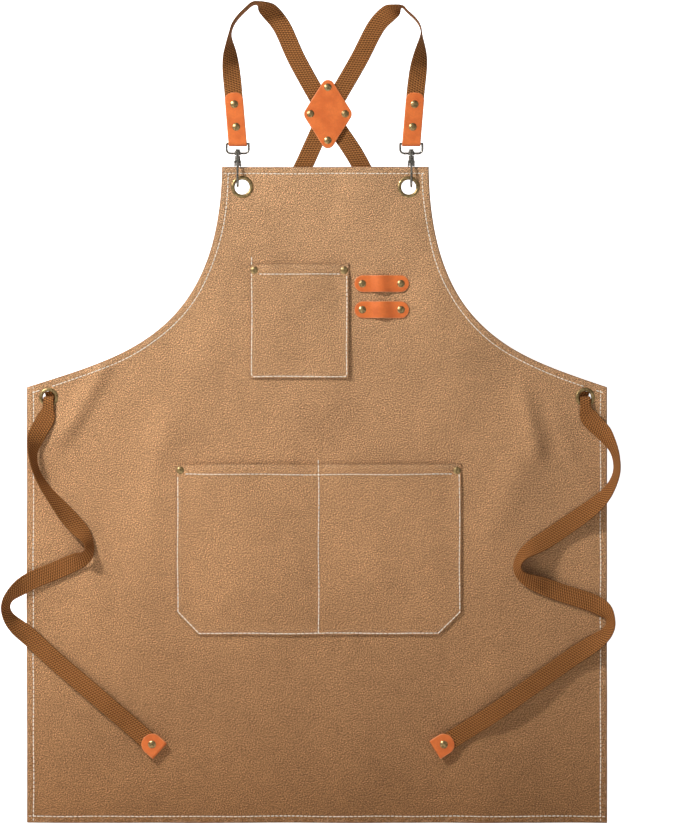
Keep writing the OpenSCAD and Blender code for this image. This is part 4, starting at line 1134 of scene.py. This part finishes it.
for side, word in ((-1, "left"), (1, "right")):
    path, ways, widths, thick = tie_path(side)
    end_along = unit(path[-1] - path[-6])
    path, ways, widths, thick = densify(path, ways, widths, thick, 2.0)
    under = [drape(*swung_in(path[:, 0], path[:, 2], TIE_EYES[side], side, degrees)) for degrees in SWINGS]
    forward = (np.max(under, axis=0) + 0.4) * smooth((np.arange(len(path)) - 10) / 14)
    rivet = pair_centres(f"{word}_tip_rivet")[0]
    flat_end = smooth((np.arange(len(path)) - len(path) + 40) / 22)
    path[:, 1] -= forward * (1 - flat_end)
    tie = ribbon(f"{word}_tie", path, ways, widths, thick, 0.9)
    adopt(tie, [f"{word}_tie_neck", f"{word}_tie_webbing"])
    dress(tie, webbing_look)
    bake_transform(tie)
    along = np.array([end_along[0], 0.0, end_along[2]])
    fold = np.array([rivet[0], TIP_Y, rivet[1]]) + along * 10.0
    tip = folded_leather(f"{word}_tip_leather", f"{word}_tie_tip", f"{word}_tie", fold, -along,
                         np.cross([0.0, 1.0, 0.0], -along), WEB_T + TIP_SLACK, TIP_W, TIP_L, 0.9, 12.0)
    dress(tip, leather_look)

for side, word in ((-1, "left"), (1, "right")):
    lean = np.array([side * math.sin(TAB_LEAN), 0.0, math.cos(TAB_LEAN)])
    tab = folded_leather(f"{word}_tab_leather", f"{word}_strap_tab", "harness", np.array(tab_point(side, 0)),
                         lean, np.array([1.0, 0.0, 0.0]), WEB_T + 0.1, 22.0, TAB_L, 1.36, 9.0)
    dress(tab, leather_look)

# ---------- studio ----------

def studio_material(name, glow):
    """White paper, evenly bright to the camera, that lets light through and is not seen from behind."""
    m = bpy.data.materials.new(name)
    m.use_nodes = True
    t = m.node_tree
    t.nodes.clear()
    out = t.nodes.new("ShaderNodeOutputMaterial")
    paper = t.nodes.new("ShaderNodeBsdfDiffuse")
    paper.inputs[0].default_value = (0.93, 0.93, 0.93, 1)
    light = t.nodes.new("ShaderNodeEmission")
    strength = t.nodes.new("ShaderNodeMath")
    strength.operation = "MULTIPLY"
    strength.inputs[1].default_value = glow
    add = t.nodes.new("ShaderNodeAddShader")
    clear = t.nodes.new("ShaderNodeBsdfTransparent")
    pick = t.nodes.new("ShaderNodeMixShader")
    behind = t.nodes.new("ShaderNodeNewGeometry")
    ray = t.nodes.new("ShaderNodeLightPath")
    either = t.nodes.new("ShaderNodeMath")
    either.operation = "MAXIMUM"
    t.links.new(behind.outputs["Backfacing"], either.inputs[0])
    t.links.new(ray.outputs["Is Shadow Ray"], either.inputs[1])
    t.links.new(ray.outputs["Is Camera Ray"], strength.inputs[0])
    t.links.new(strength.outputs[0], light.inputs[1])
    t.links.new(paper.outputs[0], add.inputs[0])
    t.links.new(light.outputs[0], add.inputs[1])
    t.links.new(either.outputs[0], pick.inputs[0])
    t.links.new(add.outputs[0], pick.inputs[1])
    t.links.new(clear.outputs[0], pick.inputs[2])
    t.links.new(pick.outputs[0], out.inputs[0])
    return m


def plane(name, corners, material):
    mesh = bpy.data.meshes.new(name)
    mesh.from_pydata(corners, [], [(0, 1, 2, 3)])
    obj = bpy.data.objects.new(name, mesh)
    bpy.context.scene.collection.objects.link(obj)
    mesh.materials.append(material)
    return obj


floor_z = HEM_Z * MM - 0.0005
wall_y = 0.19
paper = studio_material("studio_paper", 0.85)
plane("floor", [(-6, -6, floor_z), (6, -6, floor_z), (6, 6, floor_z), (-6, 6, floor_z)], paper)
plane("wall", [(-6, wall_y, floor_z), (6, wall_y, floor_z), (6, wall_y, 6), (-6, wall_y, 6)], paper)

world = bpy.data.worlds.new("studio")
world.use_nodes = True
world.node_tree.nodes["Background"].inputs[0].default_value = (1.0, 1.0, 1.0, 1)
sky = world.node_tree.nodes["Background"]
ray = world.node_tree.nodes.new("ShaderNodeLightPath")
sky_strength = world.node_tree.nodes.new("ShaderNodeMath")
sky_strength.operation = "MAXIMUM"
sky_strength.inputs[1].default_value = 0.17
world.node_tree.links.new(ray.outputs["Is Camera Ray"], sky_strength.inputs[0])
world.node_tree.links.new(sky_strength.outputs[0], sky.inputs[1])
bpy.context.scene.world = world


def softbox(name, at, aim, size, watts):
    data = bpy.data.lights.new(name, "AREA")
    data.shape = "DISK"
    data.size = size
    data.energy = watts
    obj = bpy.data.objects.new(name, data)
    bpy.context.scene.collection.objects.link(obj)
    obj.location = at
    obj.rotation_euler = (Vector(aim) - Vector(at)).to_track_quat("-Z", "Y").to_euler()


softbox("key", (-1.25, -1.05, 1.75), (0.05, 0, 0.45), 0.3, 45)
softbox("fill", (1.3, -1.9, 0.9), (0, 0, 0.45), 1.6, 4.2)
softbox("back_light", (-0.8, 1.6, 1.5), (0, 0, 0.45), 1.2, 12)

camera_data = bpy.data.cameras.new("camera")
camera_data.lens = 120
camera_data.sensor_width = 36
camera = bpy.data.objects.new("camera", camera_data)
bpy.context.scene.collection.objects.link(camera)
FRAME_HEIGHT = 0.9865
distance = FRAME_HEIGHT / 2 / math.tan(math.atan(18 / camera_data.lens))
camera.location = (MIDDLE * MM + 0.0168, -distance, HEM_Z * MM + 0.4855)
camera.rotation_euler = (math.pi / 2, 0, 0)
bpy.context.scene.camera = camera
bpy.context.scene.view_settings.view_transform = "Standard"
